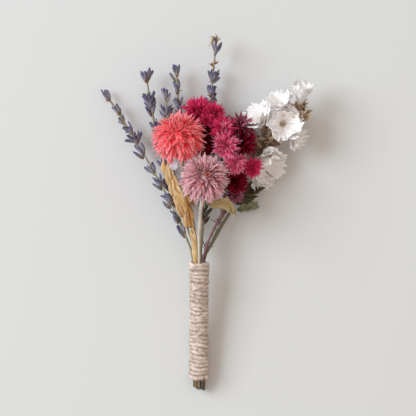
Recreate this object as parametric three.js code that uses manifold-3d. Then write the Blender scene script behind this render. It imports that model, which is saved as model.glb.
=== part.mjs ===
// A small posy of dried flowers, bound with twine and lying on its back.
// Millimetres. +X is to the right, +Y runs from the cut stems to the flower heads, +Z is up.
// Every length is measured from the mouth of the wrap, where the stems come out and fan apart,
// and every height from the surface. The whole posy is moved at the end so that the middle of
// the bottom of its box is the origin.
import * as THREE from "three";
import { mergeVertices } from "three/addons/utils/BufferGeometryUtils.js";
import Module from "manifold-3d";

const wasm = await Module();
wasm.setup();

// Stems in the handle: a ring of them round a core of three.
const STEM_RADIUS = 0.6;
const STEM_GAP = 0.106; // between one stem of the ring and the next
const RING_COUNT = 9;
const CORE_STEM_RADIUS = 0.5;
const CORE_RING = 0.64; // the core stems' distance from the bundle's middle
const STEM_CLEARANCE = 0.24; // the turns cut a little inside their round

// Handle: the bundle wound with twine, its lower end on the surface and its mouth raised.
const WRAP_LENGTH = 56;
const MOUTH_RISE = 7.794; // how much higher the mouth lies than the foot
const HANDLE_SIDE = -1.2; // the handle lies a little left of the heads' middle
const HANDLE_TILT = Math.asin(MOUTH_RISE / WRAP_LENGTH);
const STEM_ENDS = 4.4; // how far the cut stems stand out below the wrap
const RING_RADIUS = (STEM_RADIUS + STEM_GAP / 2) / Math.sin(Math.PI / RING_COUNT);
const BORE_AT_WAIST = RING_RADIUS + STEM_RADIUS + STEM_CLEARANCE; // tight round the stems
const BORE_AT_MOUTH = BORE_AT_WAIST + 0.5;
const BORE_AT_FOOT = BORE_AT_WAIST + 0.35;
const WAIST_PLACE = 0.6; // from the foot of the wrap, as a share of its length
const TWINE_THICK = 1.15;
const TWINE_PITCH = 2.05;
const TWINE_GAP = 0.15; // between one turn and the next
const TURN_STEPS = 9;

// Stems above the handle.
const JOIN_GAP = 0.3; // between a head or leaf and the stem that carries it
const STEM_SIDES = 5;

// Flower sizes.
const CORAL_RADIUS = 11.6;
const PINK_RADIUS = 10.8;
const BUD_LENGTH = 5.6; // a lavender calyx
const BUD_RADIUS = 0.95;
const HEAD_GAP = 0.35; // least room between two flower heads
const UNDER_CORAL = 9.2; // the layer of sprigs that the coral head lies on
const UNDER_PINK = 16.2; // the layer that the pink head lies on

const v = (x, y, z) => new THREE.Vector3(x, y, z);
const UP = v(0, 0, 1);
const posy = new THREE.Group();

// ---- solids ----------------------------------------------------------------------------------

function closed(geometry) {
  geometry.deleteAttribute("normal");
  geometry.deleteAttribute("uv");
  return mergeVertices(geometry, 1e-4);
}

function solidOf(geometry) {
  const g = closed(geometry);
  const vertProperties = new Float32Array(g.attributes.position.array);
  const triVerts = new Uint32Array(g.index.array);
  return new wasm.Manifold(new wasm.Mesh({ numProp: 3, vertProperties, triVerts }));
}

function joined(geometries) {
  const whole = geometries.map(solidOf).reduce((a, b) => a.add(b));
  const mesh = whole.getMesh();
  const g = new THREE.BufferGeometry();
  g.setAttribute("position", new THREE.Float32BufferAttribute(mesh.vertProperties, 3));
  g.setIndex(Array.from(mesh.triVerts));
  return g;
}

// A named piece in one of the posy's finishes.
const FINISHES = {
  twine: [0xd7bea5, 0.95],
  lavender: [0x6b6796, 0.85],
  coral: [0xe85f66, 0.7],
  dusty_pink: [0xd199a6, 0.7],
  crimson: [0x9c1c48, 0.75],
  statice: [0xecebea, 0.6],
  calyx: [0x8a6c4e, 0.8],
  straw: [0xd8b06a, 0.6],
  cream: [0xd8cb92, 0.65],
  sage: [0x6f7850, 0.8],
  pale_stem: [0xc2b89c, 0.75],
  mauve_stem: [0x8a6570, 0.6],
  green_stem: [0x7d8062, 0.75],
};

function place(name, finish, geometry) {
  const [color, roughness] = FINISHES[finish];
  const material = new THREE.MeshStandardMaterial({ color, roughness, metalness: 0 });
  geometry.computeVertexNormals();
  const mesh = new THREE.Mesh(geometry, material);
  mesh.name = name;
  posy.add(mesh);
  return mesh;
}

// A solid that follows a curve. sectionAt(t, angle) gives the two sideways distances of its
// skin, along `across` (level with the surface) and along the direction at right angles to it.
function sweep(curve, steps, sides, sectionAt) {
  const geometry = closed(new THREE.CylinderGeometry(1, 1, 1, sides, steps));
  const position = geometry.attributes.position;
  for (let i = 0; i < position.count; i += 1) {
    const [x, y, z] = [position.getX(i), position.getY(i), position.getZ(i)];
    const t = THREE.MathUtils.clamp(0.5 - y, 0, 1);
    const along = curve.getTangentAt(t);
    const across = v().crossVectors(along, UP).normalize();
    const over = v().crossVectors(across, along);
    const isCentre = Math.hypot(x, z) < 1e-6;
    const [a, b] = isCentre ? [0, 0] : sectionAt(t, Math.atan2(z, x));
    const point = curve.getPointAt(t).addScaledVector(across, a).addScaledVector(over, b);
    position.setXYZ(i, point.x, point.y, point.z);
  }
  return facingOut(geometry);
}

// Turns the faces of a closed shape round if they point inwards.
function facingOut(geometry) {
  const p = geometry.attributes.position;
  const index = geometry.index.array;
  let volume = 0;
  for (let i = 0; i < index.length; i += 3) {
    const [a, b, c] = [0, 1, 2].map((k) => v().fromBufferAttribute(p, index[i + k]));
    volume += a.dot(b.cross(c));
  }
  if (volume < 0) {
    for (let i = 0; i < index.length; i += 3) {
      [index[i], index[i + 1]] = [index[i + 1], index[i]];
    }
  }
  return geometry;
}

const round = (radiusAt) => (t, angle) => {
  const r = radiusAt(t);
  return [r * Math.cos(angle), r * Math.sin(angle)];
};

// A turned shape standing at `base` and pointing along `direction`.
function turned(profile, sides, base, direction) {
  const geometry = new THREE.LatheGeometry(profile.map(([r, y]) => new THREE.Vector2(r, y)), sides);
  geometry.applyQuaternion(new THREE.Quaternion().setFromUnitVectors(v(0, 1, 0), direction));
  geometry.translate(base.x, base.y, base.z);
  return facingOut(closed(geometry));
}

// ---- the handle ------------------------------------------------------------------------------

const FOOT_RADIUS = BORE_AT_FOOT + TWINE_THICK;
const AXIS = v(0, Math.cos(HANDLE_TILT), Math.sin(HANDLE_TILT));
const OVER = v(0, -Math.sin(HANDLE_TILT), Math.cos(HANDLE_TILT));
const MOUTH = v(HANDLE_SIDE, 0, FOOT_RADIUS * Math.cos(HANDLE_TILT) + WRAP_LENGTH * Math.sin(HANDLE_TILT));

// A point of the handle: sideways, along the handle from the mouth, and over its axis.
function inHandle(side, along, over) {
  return MOUTH.clone().addScaledVector(AXIS, along).addScaledVector(OVER, over).add(v(side, 0, 0));
}

// The bundle's radius along the handle: drawn in at the waist, looser at both ends.
function boreAt(along) {
  const share = THREE.MathUtils.clamp(1 + along / WRAP_LENGTH, 0, 1);
  const end = share < WAIST_PLACE ? BORE_AT_FOOT : BORE_AT_MOUTH;
  const reach = share < WAIST_PLACE ? WAIST_PLACE : 1 - WAIST_PLACE;
  const away = Math.abs(share - WAIST_PLACE) / reach;
  return BORE_AT_WAIST + (end - BORE_AT_WAIST) * (1 - Math.cos(Math.PI * away)) / 2;
}

function twineWrap() {
  const half = (TWINE_PITCH - TWINE_GAP) / 2;
  const turns = (WRAP_LENGTH - 2 * half) / TWINE_PITCH;
  const steps = Math.round(turns * TURN_STEPS);
  const geometry = closed(new THREE.CylinderGeometry(1, 1, 1, 5, steps));
  const position = geometry.attributes.position;
  for (let i = 0; i < position.count; i += 1) {
    const [x, y, z] = [position.getX(i), position.getY(i), position.getZ(i)];
    const t = 0.5 - y;
    const turn = t * turns * 2 * Math.PI;
    const middle = -WRAP_LENGTH + half + t * turns * TWINE_PITCH;
    const along = middle + half * z;
    const radius = boreAt(middle) + TWINE_THICK / 2 + (TWINE_THICK / 2) * x;
    const point = inHandle(radius * Math.sin(turn), along, -radius * Math.cos(turn));
    position.setXYZ(i, point.x, point.y, point.z);
  }
  place("twine_wrap", "twine", facingOut(geometry));
}

// Where each stem sits in the bundle: nine round the outside, three in the middle. Angles are
// seen from the cut ends, from the right, turning up and over.
const OUTER = { pink: 90, straw: 130, long: 170, leaning: 210, grey: 250, tall: 290 };
Object.assign(OUTER, { leaf: 330, statice: 10, everlasting: 50 });
const CORE = { coral: 90, upright: 210, short: 330 };

function slotAt(slot, along) {
  const core = slot in CORE;
  const angle = THREE.MathUtils.degToRad(core ? CORE[slot] : OUTER[slot]);
  const ring = core ? CORE_RING : boreAt(along) - STEM_RADIUS - STEM_CLEARANCE;
  return inHandle(ring * Math.cos(angle), along, ring * Math.sin(angle));
}

// A stem's route: up through the wrap, then in one bend by way of `knee` to `tip`.
function stemRoute(slot, knee, tip) {
  const points = [];
  for (const share of [-1, -0.8, -0.6, -0.4, -0.2]) points.push(slotAt(slot, share * WRAP_LENGTH));
  points.unshift(slotAt(slot, -WRAP_LENGTH - STEM_ENDS));
  const mouth = slotAt(slot, 0);
  const free = new THREE.QuadraticBezierCurve3(mouth.clone().addScaledVector(AXIS, 1), knee, tip);
  return new THREE.CatmullRomCurve3([...points, mouth, ...free.getPoints(7)]);
}

// The share of a route that lies below the mouth of the wrap.
function shareInWrap(route) {
  let share = 0;
  while (route.getPointAt(share).y < 0) share += 0.01;
  return share;
}

function stem(slot, knee, tip, radius, steps = 16) {
  const route = stemRoute(slot, knee, tip);
  const inWrap = shareInWrap(route);
  const packed = slot in CORE ? CORE_STEM_RADIUS : STEM_RADIUS;
  const radiusAt = (t) => {
    const out = THREE.MathUtils.smoothstep(t, inWrap, inWrap + 0.12);
    return THREE.MathUtils.lerp(packed, radius, out);
  };
  return { route, geometry: sweep(route, steps, STEM_SIDES, round(radiusAt)) };
}

// ---- lavender --------------------------------------------------------------------------------

const BUD_PROFILE = [[0, 0], [0.85, 0.3], [0.8, 0.75], [0, 1]];

// One whorl of calyces: they open from the stem by `open` degrees, evenly round it.
function whorl(route, down, count, open, turn) {
  const t = 1 - down / route.getLength();
  const base = route.getPointAt(t);
  const along = route.getTangentAt(t);
  const side = v().crossVectors(along, UP).normalize();
  const buds = [];
  for (let k = 0; k < count; k += 1) {
    const angle = THREE.MathUtils.degToRad(turn + (360 * k) / count);
    const out = side.clone().applyAxisAngle(along, angle);
    const lean = THREE.MathUtils.degToRad(open);
    const direction = along.clone().multiplyScalar(Math.cos(lean)).addScaledVector(out, Math.sin(lean));
    const profile = BUD_PROFILE.map(([r, y]) => [r * BUD_RADIUS, y * BUD_LENGTH]);
    buds.push(turned(profile, 4, base, direction.normalize()));
  }
  return buds;
}

// whorls: how far below the tip each one sits, its number of calyces, how far they open and
// the direction that the first one takes, 0 to the right and 90 up.
function lavender(name, slot, knee, tip, whorls) {
  const { route, geometry } = stem(slot, knee, tip, 0.5, 20);
  const buds = whorls.flatMap(([down, count, open, turn]) => whorl(route, down, count, open, turn));
  place(name, "lavender", joined([geometry, ...buds]));
}

// ---- flower heads ----------------------------------------------------------------------------

// Heads of one bunch press against each other but never share room: any two that are closer
// than their radii allow are moved apart, again and again until all have settled.
function settle(heads, rounds = 40) {
  for (let n = 0; n < rounds; n += 1) {
    for (const [i, a] of heads.entries()) {
      for (const b of heads.slice(i + 1)) {
        const apart = b.at.clone().sub(a.at);
        const short = a.radius + b.radius + HEAD_GAP - apart.length();
        if (short > 0) {
          apart.setLength(short / 2);
          a.at.sub(apart);
          b.at.add(apart);
        }
      }
    }
  }
}

// A head of stiff pointed bracts, modelled as a ball with a point on every other corner.
function globeHead(name, finish, head) {
  const geometry = closed(new THREE.IcosahedronGeometry(1, 3));
  const position = geometry.attributes.position;
  for (let i = 0; i < position.count; i += 1) {
    const point = v().fromBufferAttribute(position, i);
    const low = Math.max(0, -point.dot(head.faces));
    const reach = (i % 2 ? 1 : 0.88) - 0.12 * low;
    point.setLength(head.radius * reach).add(head.at);
    position.setXYZ(i, point.x, point.y, point.z);
  }
  place(name, finish, facingOut(geometry));
}

const CUP_PROFILE = [[0, -0.8], [0.35, -0.78], [0.86, -0.35], [0.97, 0.12], [0.62, 0.7], [0, 0.45]];
const CUP_POINTS = 7;

// An everlasting: a cup of narrow pointed petals, so its outline is a star.
function cupHead(name, head) {
  const sides = CUP_POINTS * 2;
  const profile = CUP_PROFILE.map(([r, y]) => new THREE.Vector2(r, y));
  const geometry = closed(new THREE.LatheGeometry(profile, sides));
  const position = geometry.attributes.position;
  for (let i = 0; i < position.count; i += 1) {
    const [x, y, z] = [position.getX(i), position.getY(i), position.getZ(i)];
    const corner = Math.round((Math.atan2(z, x) / (2 * Math.PI)) * sides);
    const r = corner % 2 ? 0.86 : 1;
    position.setXYZ(i, x * r * head.radius, y * head.radius, z * r * head.radius);
  }
  geometry.applyQuaternion(new THREE.Quaternion().setFromUnitVectors(v(0, 1, 0), head.faces));
  geometry.translate(head.at.x, head.at.y, head.at.z);
  place(name, "crimson", facingOut(geometry));
}

const FUNNEL_PROFILE = [[0, -0.95], [0.24, -0.9], [0.3, -0.4], [0.92, 0.3], [0.75, 0.42], [0, -0.05]];
const FUNNEL_RUFFLES = 6;

// A statice flower: a papery funnel with a ruffled rim.
function funnelHead(name, head) {
  const sides = FUNNEL_RUFFLES * 2;
  const profile = FUNNEL_PROFILE.map(([r, y]) => new THREE.Vector2(r, y));
  const geometry = closed(new THREE.LatheGeometry(profile, sides));
  const position = geometry.attributes.position;
  for (let i = 0; i < position.count; i += 1) {
    const [x, y, z] = [position.getX(i), position.getY(i), position.getZ(i)];
    const corner = Math.round((Math.atan2(z, x) / (2 * Math.PI)) * sides);
    const lift = (corner % 2 ? 0.12 : -0.06) * Math.hypot(x, z);
    position.setXYZ(i, x * head.radius, (y + lift) * head.radius, z * head.radius);
  }
  geometry.applyQuaternion(new THREE.Quaternion().setFromUnitVectors(v(0, 1, 0), head.faces));
  geometry.translate(head.at.x, head.at.y, head.at.z);
  place(name, "statice", facingOut(geometry));
}

// The lowest point of a head, where its stalk comes in, less the gap of the join.
function under(head, reach) {
  return head.at.clone().addScaledVector(head.faces, -head.radius * reach - JOIN_GAP);
}

const head = (x, y, z, radius, fx, fy, fz) => ({ at: v(x, y, z), radius, faces: v(fx, fy, fz).normalize() });

const coral = head(-10.2, 56.8, UNDER_CORAL + CORAL_RADIUS, CORAL_RADIUS, -0.1, 0.8, 0.6);
const pink = head(1.3, 37.8, UNDER_PINK + PINK_RADIUS, PINK_RADIUS, 0.05, 0.45, 0.9);
const everlastings = {
  everlasting_top_left: head(-2.1, 70.3, 15.5, 4.8, -0.2, 0.5, 0.85),
  everlasting_top_right: head(5.8, 70, 18.5, 3.5, 0.1, 0.5, 0.85),
  everlasting_open_heart: head(2.7, 58.9, 11.8, 4.4, -0.15, -0.1, 1),
  everlasting_pale_eye: head(10, 61.6, 22, 4, -0.1, 0.2, 1),
  everlasting_far_right: head(19.3, 63, 19, 4.3, 0.45, 0.4, 0.8),
  everlasting_bright: head(11.2, 52.8, 25, 5, 0.05, -0.15, 1),
  everlasting_right_bud: head(20.2, 54.8, 20, 3.3, 0.6, 0.1, 0.8),
  everlasting_middle: head(16, 45.2, 22, 3.6, 0.15, -0.2, 0.95),
  everlasting_star: head(24.4, 43.4, 19, 3.2, 0.45, -0.15, 0.85),
  everlasting_dark: head(16.4, 37, 16.5, 3.6, 0.25, -0.15, 0.95),
  everlasting_lowest: head(15.9, 30.4, 13.4, 3.2, 0.2, -0.45, 0.85),
};
const statices = {
  statice_tip: head(46.2, 78.3, 15, 5.6, 0.12, 0.95, 0.3),
  statice_upper_left: head(36.4, 73.6, 16.6, 4.5, -0.1, 0.9, 0.45),
  statice_left: head(26.4, 66.4, 13.6, 5.6, -0.65, 0.6, 0.45),
  statice_wide: head(38.2, 63.3, 17.8, 5.8, 0.15, 0.1, 1),
  statice_right: head(44.2, 56.4, 12.4, 4.2, 0.7, -0.3, 0.6),
  statice_shaded: head(24.2, 58.4, 7, 4, -0.3, 0, 0.9),
  statice_lower: head(30.6, 46, 8, 6.2, 0.35, -0.45, 0.8),
  statice_lowest: head(29.8, 36.6, 4.4, 3.8, 0.1, -0.9, 0.4),
};

// ---- stems that branch -----------------------------------------------------------------------

function twig(points, radius, steps = 5, end = 0.7) {
  const curve = new THREE.CatmullRomCurve3(points);
  return sweep(curve, steps, STEM_SIDES, round((t) => THREE.MathUtils.lerp(radius, radius * end, t)));
}

// A stalk from a fork to the underside of a head, coming in square to it.
function stalk(from, head, reach, radius) {
  const end = under(head, reach);
  const before = end.clone().addScaledVector(head.faces, -0.45 * end.distanceTo(from));
  return twig([from, before.lerp(from, 0.3), end], radius, 4, 0.8);
}

// ---- leaves ----------------------------------------------------------------------------------

// A leaf or husk folded along its midrib: `width` at its widest, `fold` deep, `thick` through.
function leaf(points, width, fold, thick, steps = 10) {
  const curve = new THREE.CatmullRomCurve3(points);
  const sectionAt = (t, angle) => {
    const half = (width / 2) * Math.max(0.16, Math.sin(Math.PI * (0.06 + 0.9 * t)) ** 0.8);
    const a = half * Math.cos(angle);
    const lift = (fold * Math.abs(a)) / (width / 2);
    return [a, lift + (thick / 2) * Math.round(Math.sin(angle) * 1.2)];
  };
  return sweep(curve, steps, 8, sectionAt);
}

// ---- the posy, put together ------------------------------------------------------------------

twineWrap();
settle([coral, pink, ...Object.values(everlastings), ...Object.values(statices)]);

lavender("lavender_long", "long", v(-13.5, 31, 9.8), v(-44, 76.5, 5.2), [
  [1.8, 2, 8, 40], [10.5, 2, 22, 60], [16.5, 2, 12, 20], [21, 3, 20, 100], [25.2, 6, 55, 15],
  [32, 2, 20, 150], [42, 3, 30, 60], [49.5, 3, 22, 100], [58.5, 4, 24, 30], [67, 3, 22, 100],
  [74, 2, 18, 150],
]);
lavender("lavender_leaning", "leaning", v(-19, 38, 1.6), v(-25.6, 84.5, 9.5), [
  [0.8, 3, 30, 30], [11, 6, 34, 20], [16, 2, 26, 170], [25, 3, 20, 80], [33, 2, 22, 0],
  [43, 3, 26, 60], [52, 3, 24, 100], [61, 3, 24, 60],
]);
lavender("lavender_upright", "upright", v(-15, 36, 7.5), v(-16.8, 76, 9), [
  [1.5, 2, 14, 120], [9, 4, 26, 30], [16.5, 3, 24, 90],
]);
lavender("lavender_grey", "grey", v(-9.5, 38, 2.4), v(-11.6, 87, 8.5), [
  [1.5, 3, 16, 20], [8.5, 3, 18, 60], [16, 3, 22, 0], [23, 3, 22, 60],
]);
lavender("lavender_tall", "tall", v(1.6, 48, -2), v(6.6, 100.5, 11.5), [
  [0.8, 2, 14, 60], [3.6, 3, 30, 20], [17.5, 5, 26, 30], [24.5, 4, 24, 60], [30, 2, 26, 0],
]);
lavender("lavender_short", "short", v(1.2, 14, 11.8), v(1.4, 31.5, 12), [
  [3.5, 3, 18, 90], [9, 2, 26, 0], [13, 2, 20, 180],
]);

globeHead("amaranth_coral_head", "coral", coral);
const coralStem = stem("coral", v(-6.5, 33, 7.2), under(coral, 0.9), 0.8);
place("amaranth_coral_stem", "pale_stem", coralStem.geometry);
globeHead("amaranth_pink_head", "dusty_pink", pink);
const pinkStem = stem("pink", v(-1.2, 21.5, 17.6), under(pink, 0.9), 0.9);
place("amaranth_pink_stem", "pale_stem", pinkStem.geometry);

const fork = v(9, 20.6, 14.6);
const rightFork = v(12.8, 25, 11.4);
const middleFork = v(11, 41, 11.4);
const upperFork = v(12.2, 55, 12.6);
const trunk = stem("everlasting", v(4, 13, 16), fork, 1).geometry;
const {
  everlasting_lowest, everlasting_dark, everlasting_star, everlasting_middle, everlasting_bright,
  everlasting_open_heart, everlasting_pale_eye, everlasting_right_bud, everlasting_far_right,
  everlasting_top_left, everlasting_top_right,
} = everlastings;
const CUP_UNDER = 0.8;
place("everlasting_stem", "mauve_stem", joined([
  trunk,
  twig([fork, v(11.2, 22.8, 13), rightFork], 0.8),
  twig([fork, v(10.6, 30, 13.6), middleFork], 0.85),
  twig([middleFork, v(12, 48, 11.4), upperFork], 0.75),
  ...[everlasting_lowest, everlasting_dark, everlasting_star].map((h) => stalk(rightFork, h, CUP_UNDER, 0.6)),
  ...[everlasting_middle, everlasting_open_heart].map((h) => stalk(middleFork, h, CUP_UNDER, 0.6)),
  ...[
    everlasting_bright, everlasting_pale_eye, everlasting_right_bud, everlasting_far_right,
    everlasting_top_left, everlasting_top_right,
  ].map((h) => stalk(upperFork, h, CUP_UNDER, 0.6)),
]));
for (const [name, each] of Object.entries(everlastings)) cupHead(name, each);

const lowerNode = v(32.6, 56.6, 9.4);
const branchNode = v(38, 61, 9.4);
const upperNode = v(44.2, 66.4, 11.4);
const trunkTip = v(27, 54.8, 8.4);
const FUNNEL_UNDER = 0.95;
const CALYX_PROFILE = [[0, 0], [0.7, 1.2], [0.75, 3.4], [0, 4.6]];

// Empty calyces that stand in a tuft on a fork of the statice stem.
function tuft(at, directions) {
  return directions.map((d) => turned(CALYX_PROFILE, 5, at, d.normalize()));
}

const staticeTrunk = stem("statice", v(14.6, 32, 6), trunkTip, 0.7).geometry;
const { statice_tip, statice_upper_left, statice_left, statice_wide } = statices;
const { statice_right, statice_shaded, statice_lower, statice_lowest } = statices;
place("statice_stem", "green_stem", joined([
  staticeTrunk,
  twig([trunkTip, v(30, 56.4, 9), lowerNode], 0.7),
  twig([lowerNode, branchNode, upperNode], 0.6),
  stalk(branchNode, statice_wide, FUNNEL_UNDER, 0.45),
  twig([trunkTip, v(23.6, 46, 4), v(26.6, 42, 2.6), under(statice_lowest, FUNNEL_UNDER)], 0.5),
  ...[statice_left, statice_shaded, statice_lower].map((h) => stalk(lowerNode, h, FUNNEL_UNDER, 0.45)),
  ...[statice_tip, statice_upper_left, statice_right].map((h) => stalk(upperNode, h, FUNNEL_UNDER, 0.45)),
  ...tuft(lowerNode, [v(0.2, 0.9, 0.5), v(-0.1, 0.5, 0.9), v(0.6, 0.5, 0.7), v(0.5, -0.1, 0.9)]),
  ...tuft(upperNode, [v(0.9, 0.4, 0.5), v(0.1, 0.9, 0.6), v(0.55, 0.55, 0.8), v(0.3, 0.2, 1)]),
]));
for (const [name, each] of Object.entries(statices)) funnelHead(name, each);

// Straw-coloured husks: long folded blades that wrap one another up the left of the bunch.
const strawTip = v(-4.2, 13.6, 15.6);
place("straw_stalk", "straw", stem("straw", v(-2.4, 6, 15.2), strawTip, 0.9).geometry);
const husks = {
  husk_outer: [[v(-5.6, 14.6, 14.4), v(-11.6, 29, 14.2), v(-18, 46.4, 12.2)], 3.6, 0.9, 0.5],
  husk_middle: [[v(-4.9, 14.6, 16.2), v(-10, 29, 16.6), v(-14.9, 45.4, 15)], 4.6, 0.9, 0.5],
  husk_brown: [[v(-4, 15, 17.6), v(-6, 25, 18.6), v(-8, 36.6, 17.4)], 3.6, 0.8, 0.5],
  husk_bract: [[v(-3.1, 24.6, 15.6), v(-4.4, 29, 15.6), v(-4.7, 33, 15.2)], 2, 0.4, 0.4, 6],
};
for (const [name, husk] of Object.entries(husks)) place(name, "straw", leaf(...husk));
const lilacRun = [v(-12.2, 42, 17.2), v(-12.9, 44.4, 17.2), v(-13.6, 46.6, 15.6)];
place("petal_lilac", "statice", leaf(lilacRun, 4, 0.5, 0.5, 6));

// Leaves: the curled cream one stands under the pink head, the green ones lie on the surface.
const creamRun = [v(2.6, 27.4, 19), v(7.6, 28.2, 19.6), v(12.4, 27.9, 18.6), v(15.2, 22.4, 16.4)];
place("leaf_cream", "cream", leaf(creamRun, 4.4, 1, 0.5));
const leafStem = stem("leaf", v(9, 16, 6), v(15.2, 25.6, 5), 0.6);
place("leaf_stem", "green_stem", leafStem.geometry);
place("leaf_green", "sage", leaf([v(15.6, 26.4, 5), v(20, 30.6, 4.6), v(26, 34.4, 1)], 6, 1.2, 0.6));
place("leaf_sage", "sage", leaf([v(16.2, 23.6, 4.6), v(21, 25, 4), v(26.6, 27.4, 0.9)], 4, 0.7, 0.5));

// The middle of the bottom of the posy's box becomes the origin.
posy.updateMatrixWorld(true);
const box = new THREE.Box3().setFromObject(posy, true);
posy.position.set(-(box.min.x + box.max.x) / 2, -(box.min.y + box.max.y) / 2, -box.min.z);

export default posy;
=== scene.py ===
"""A small posy of dried flowers bound with jute twine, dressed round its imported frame."""

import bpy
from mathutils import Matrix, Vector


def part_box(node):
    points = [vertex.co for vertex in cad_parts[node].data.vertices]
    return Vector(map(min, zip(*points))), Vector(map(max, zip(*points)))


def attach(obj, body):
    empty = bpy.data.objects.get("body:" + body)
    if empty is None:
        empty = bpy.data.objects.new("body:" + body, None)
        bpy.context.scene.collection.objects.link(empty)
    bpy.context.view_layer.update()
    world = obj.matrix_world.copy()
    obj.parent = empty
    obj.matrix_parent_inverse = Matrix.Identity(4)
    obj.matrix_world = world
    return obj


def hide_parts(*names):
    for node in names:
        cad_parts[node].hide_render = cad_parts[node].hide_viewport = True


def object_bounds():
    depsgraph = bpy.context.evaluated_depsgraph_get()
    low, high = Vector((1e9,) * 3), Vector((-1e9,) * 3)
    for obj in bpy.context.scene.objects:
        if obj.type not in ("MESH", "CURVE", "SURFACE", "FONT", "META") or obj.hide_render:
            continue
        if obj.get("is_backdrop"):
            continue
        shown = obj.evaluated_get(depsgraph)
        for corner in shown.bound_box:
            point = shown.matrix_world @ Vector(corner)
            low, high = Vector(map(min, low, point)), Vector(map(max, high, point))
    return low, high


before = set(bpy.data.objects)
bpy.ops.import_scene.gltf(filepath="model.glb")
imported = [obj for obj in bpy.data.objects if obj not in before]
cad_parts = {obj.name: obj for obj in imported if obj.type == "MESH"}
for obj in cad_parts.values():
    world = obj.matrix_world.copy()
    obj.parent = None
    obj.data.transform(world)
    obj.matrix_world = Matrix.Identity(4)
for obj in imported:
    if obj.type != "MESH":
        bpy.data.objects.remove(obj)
CAD_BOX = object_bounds()
WRAP_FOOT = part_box("twine_wrap")[0][1]
WRAP_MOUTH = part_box("twine_wrap")[1][1]

import logging
import math
import random
from dataclasses import dataclass, field, replace
from enum import Enum
from typing import Any, Callable, Iterator, Mapping, Sequence, Union

import bpy
import numpy as np
from mathutils import Vector

logging.basicConfig(level=logging.INFO, format="%(message)s")
LOG = logging.getLogger("posy")

MM = 0.001
ROOT = "root"
GOLDEN_ANGLE = math.pi * (3 - math.sqrt(5))
MARKS = ("along", "across", "tone")  # what a Shape carries on its points for its finish
SHAPE_GAP = 0.04 * MM  # how far a Shape's points stay clear of the table
SHEET_GAP = 0.1 * MM  # how far the middle of a thin sheet or fibre does

Array = np.ndarray
Face = tuple[int, ...]
Colour = tuple[float, float, float]
Value = Union["Wire", float, Colour]


# ---- vectors, colours and paths ----------------------------------------------------------------


def unit(v: Array) -> Array:
    """Returns v, or each row of v, at length one."""
    return v / np.maximum(np.linalg.norm(v, axis=-1, keepdims=True), 1e-12)


def vec(x: float, y: float, z: float) -> Array:
    """Returns a vector of three numbers."""
    return np.array([x, y, z], float)


def keep_above(points: Array, height: float) -> None:
    """Lifts whichever of the points lie below a height up to it."""
    points[..., 2] = np.maximum(points[..., 2], height)


def run_along(path: Array) -> Array:
    """Returns how far along the path each of its points is."""
    return np.concatenate([[0], np.cumsum(np.linalg.norm(np.diff(path, axis=0), axis=1))])


def srgb(red: int, green: int, blue: int) -> Colour:
    """Returns the linear colour of an sRGB colour given from 0 to 255.

    Args:
        red: the red channel.
        green: the green channel.
        blue: the blue channel.

    Returns:
        Three linear numbers from 0 to 1.
    """
    def linear(c: int) -> float:
        """Returns one channel, linear."""
        s = c / 255
        return s / 12.92 if s <= 0.04045 else ((s + 0.055) / 1.055) ** 2.4

    return linear(red), linear(green), linear(blue)


def square_to(direction: Array, hint: Array) -> Array:
    """Returns a unit vector square to direction, as near to hint as it can be.

    Args:
        direction: a unit vector.
        hint: the wish, which may not lie along direction.

    Returns:
        The unit vector.
    """
    side = hint - (hint @ direction) * direction
    if np.linalg.norm(side) < 1e-6:
        side = np.cross(direction, vec(0.3, 0.9, 0.2))
    return unit(side)


def smooth_path(points: Sequence[Array], count: int) -> Array:
    """Returns evenly spaced points on a smooth curve through the given ones.

    Args:
        points: the points that the curve passes through.
        count: how many points to return.

    Returns:
        An array of count rows.
    """
    samples = 12
    p = np.array(points, float)
    if len(p) == 2:
        return p[0] + np.linspace(0, 1, count)[:, None] * (p[1] - p[0])
    p = np.vstack([2 * p[0] - p[1], p, 2 * p[-1] - p[-2]])
    dense = []
    for a, b, c, d in zip(p[:-3], p[1:-2], p[2:-1], p[3:]):
        for t in np.linspace(0, 1, samples, endpoint=False):
            dense.append(0.5 * (2 * b + (c - a) * t + (2 * a - 5 * b + 4 * c - d) * t**2
                                + (3 * b - a - 3 * c + d) * t**3))
    dense.append(p[-2])
    dense = np.array(dense)
    run = run_along(dense)
    at = np.linspace(0, run[-1], count)
    return np.stack([np.interp(at, run, dense[:, k]) for k in range(3)], axis=1)


def carried_frames(path: Array, hint: Array) -> tuple[Array, Array, Array]:
    """Carries a frame along a path without twisting it.

    Args:
        path: the points.
        hint: where the first side vector points.

    Returns:
        The tangents, the side vectors and the vectors square to both, one row a point.
    """
    tangent = unit(np.gradient(path, axis=0))
    side = [square_to(tangent[0], hint)]
    for t in tangent[1:]:
        side.append(square_to(t, side[-1]))
    sides = np.array(side)
    return tangent, sides, np.cross(tangent, sides)


# ---- meshes ------------------------------------------------------------------------------------


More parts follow.
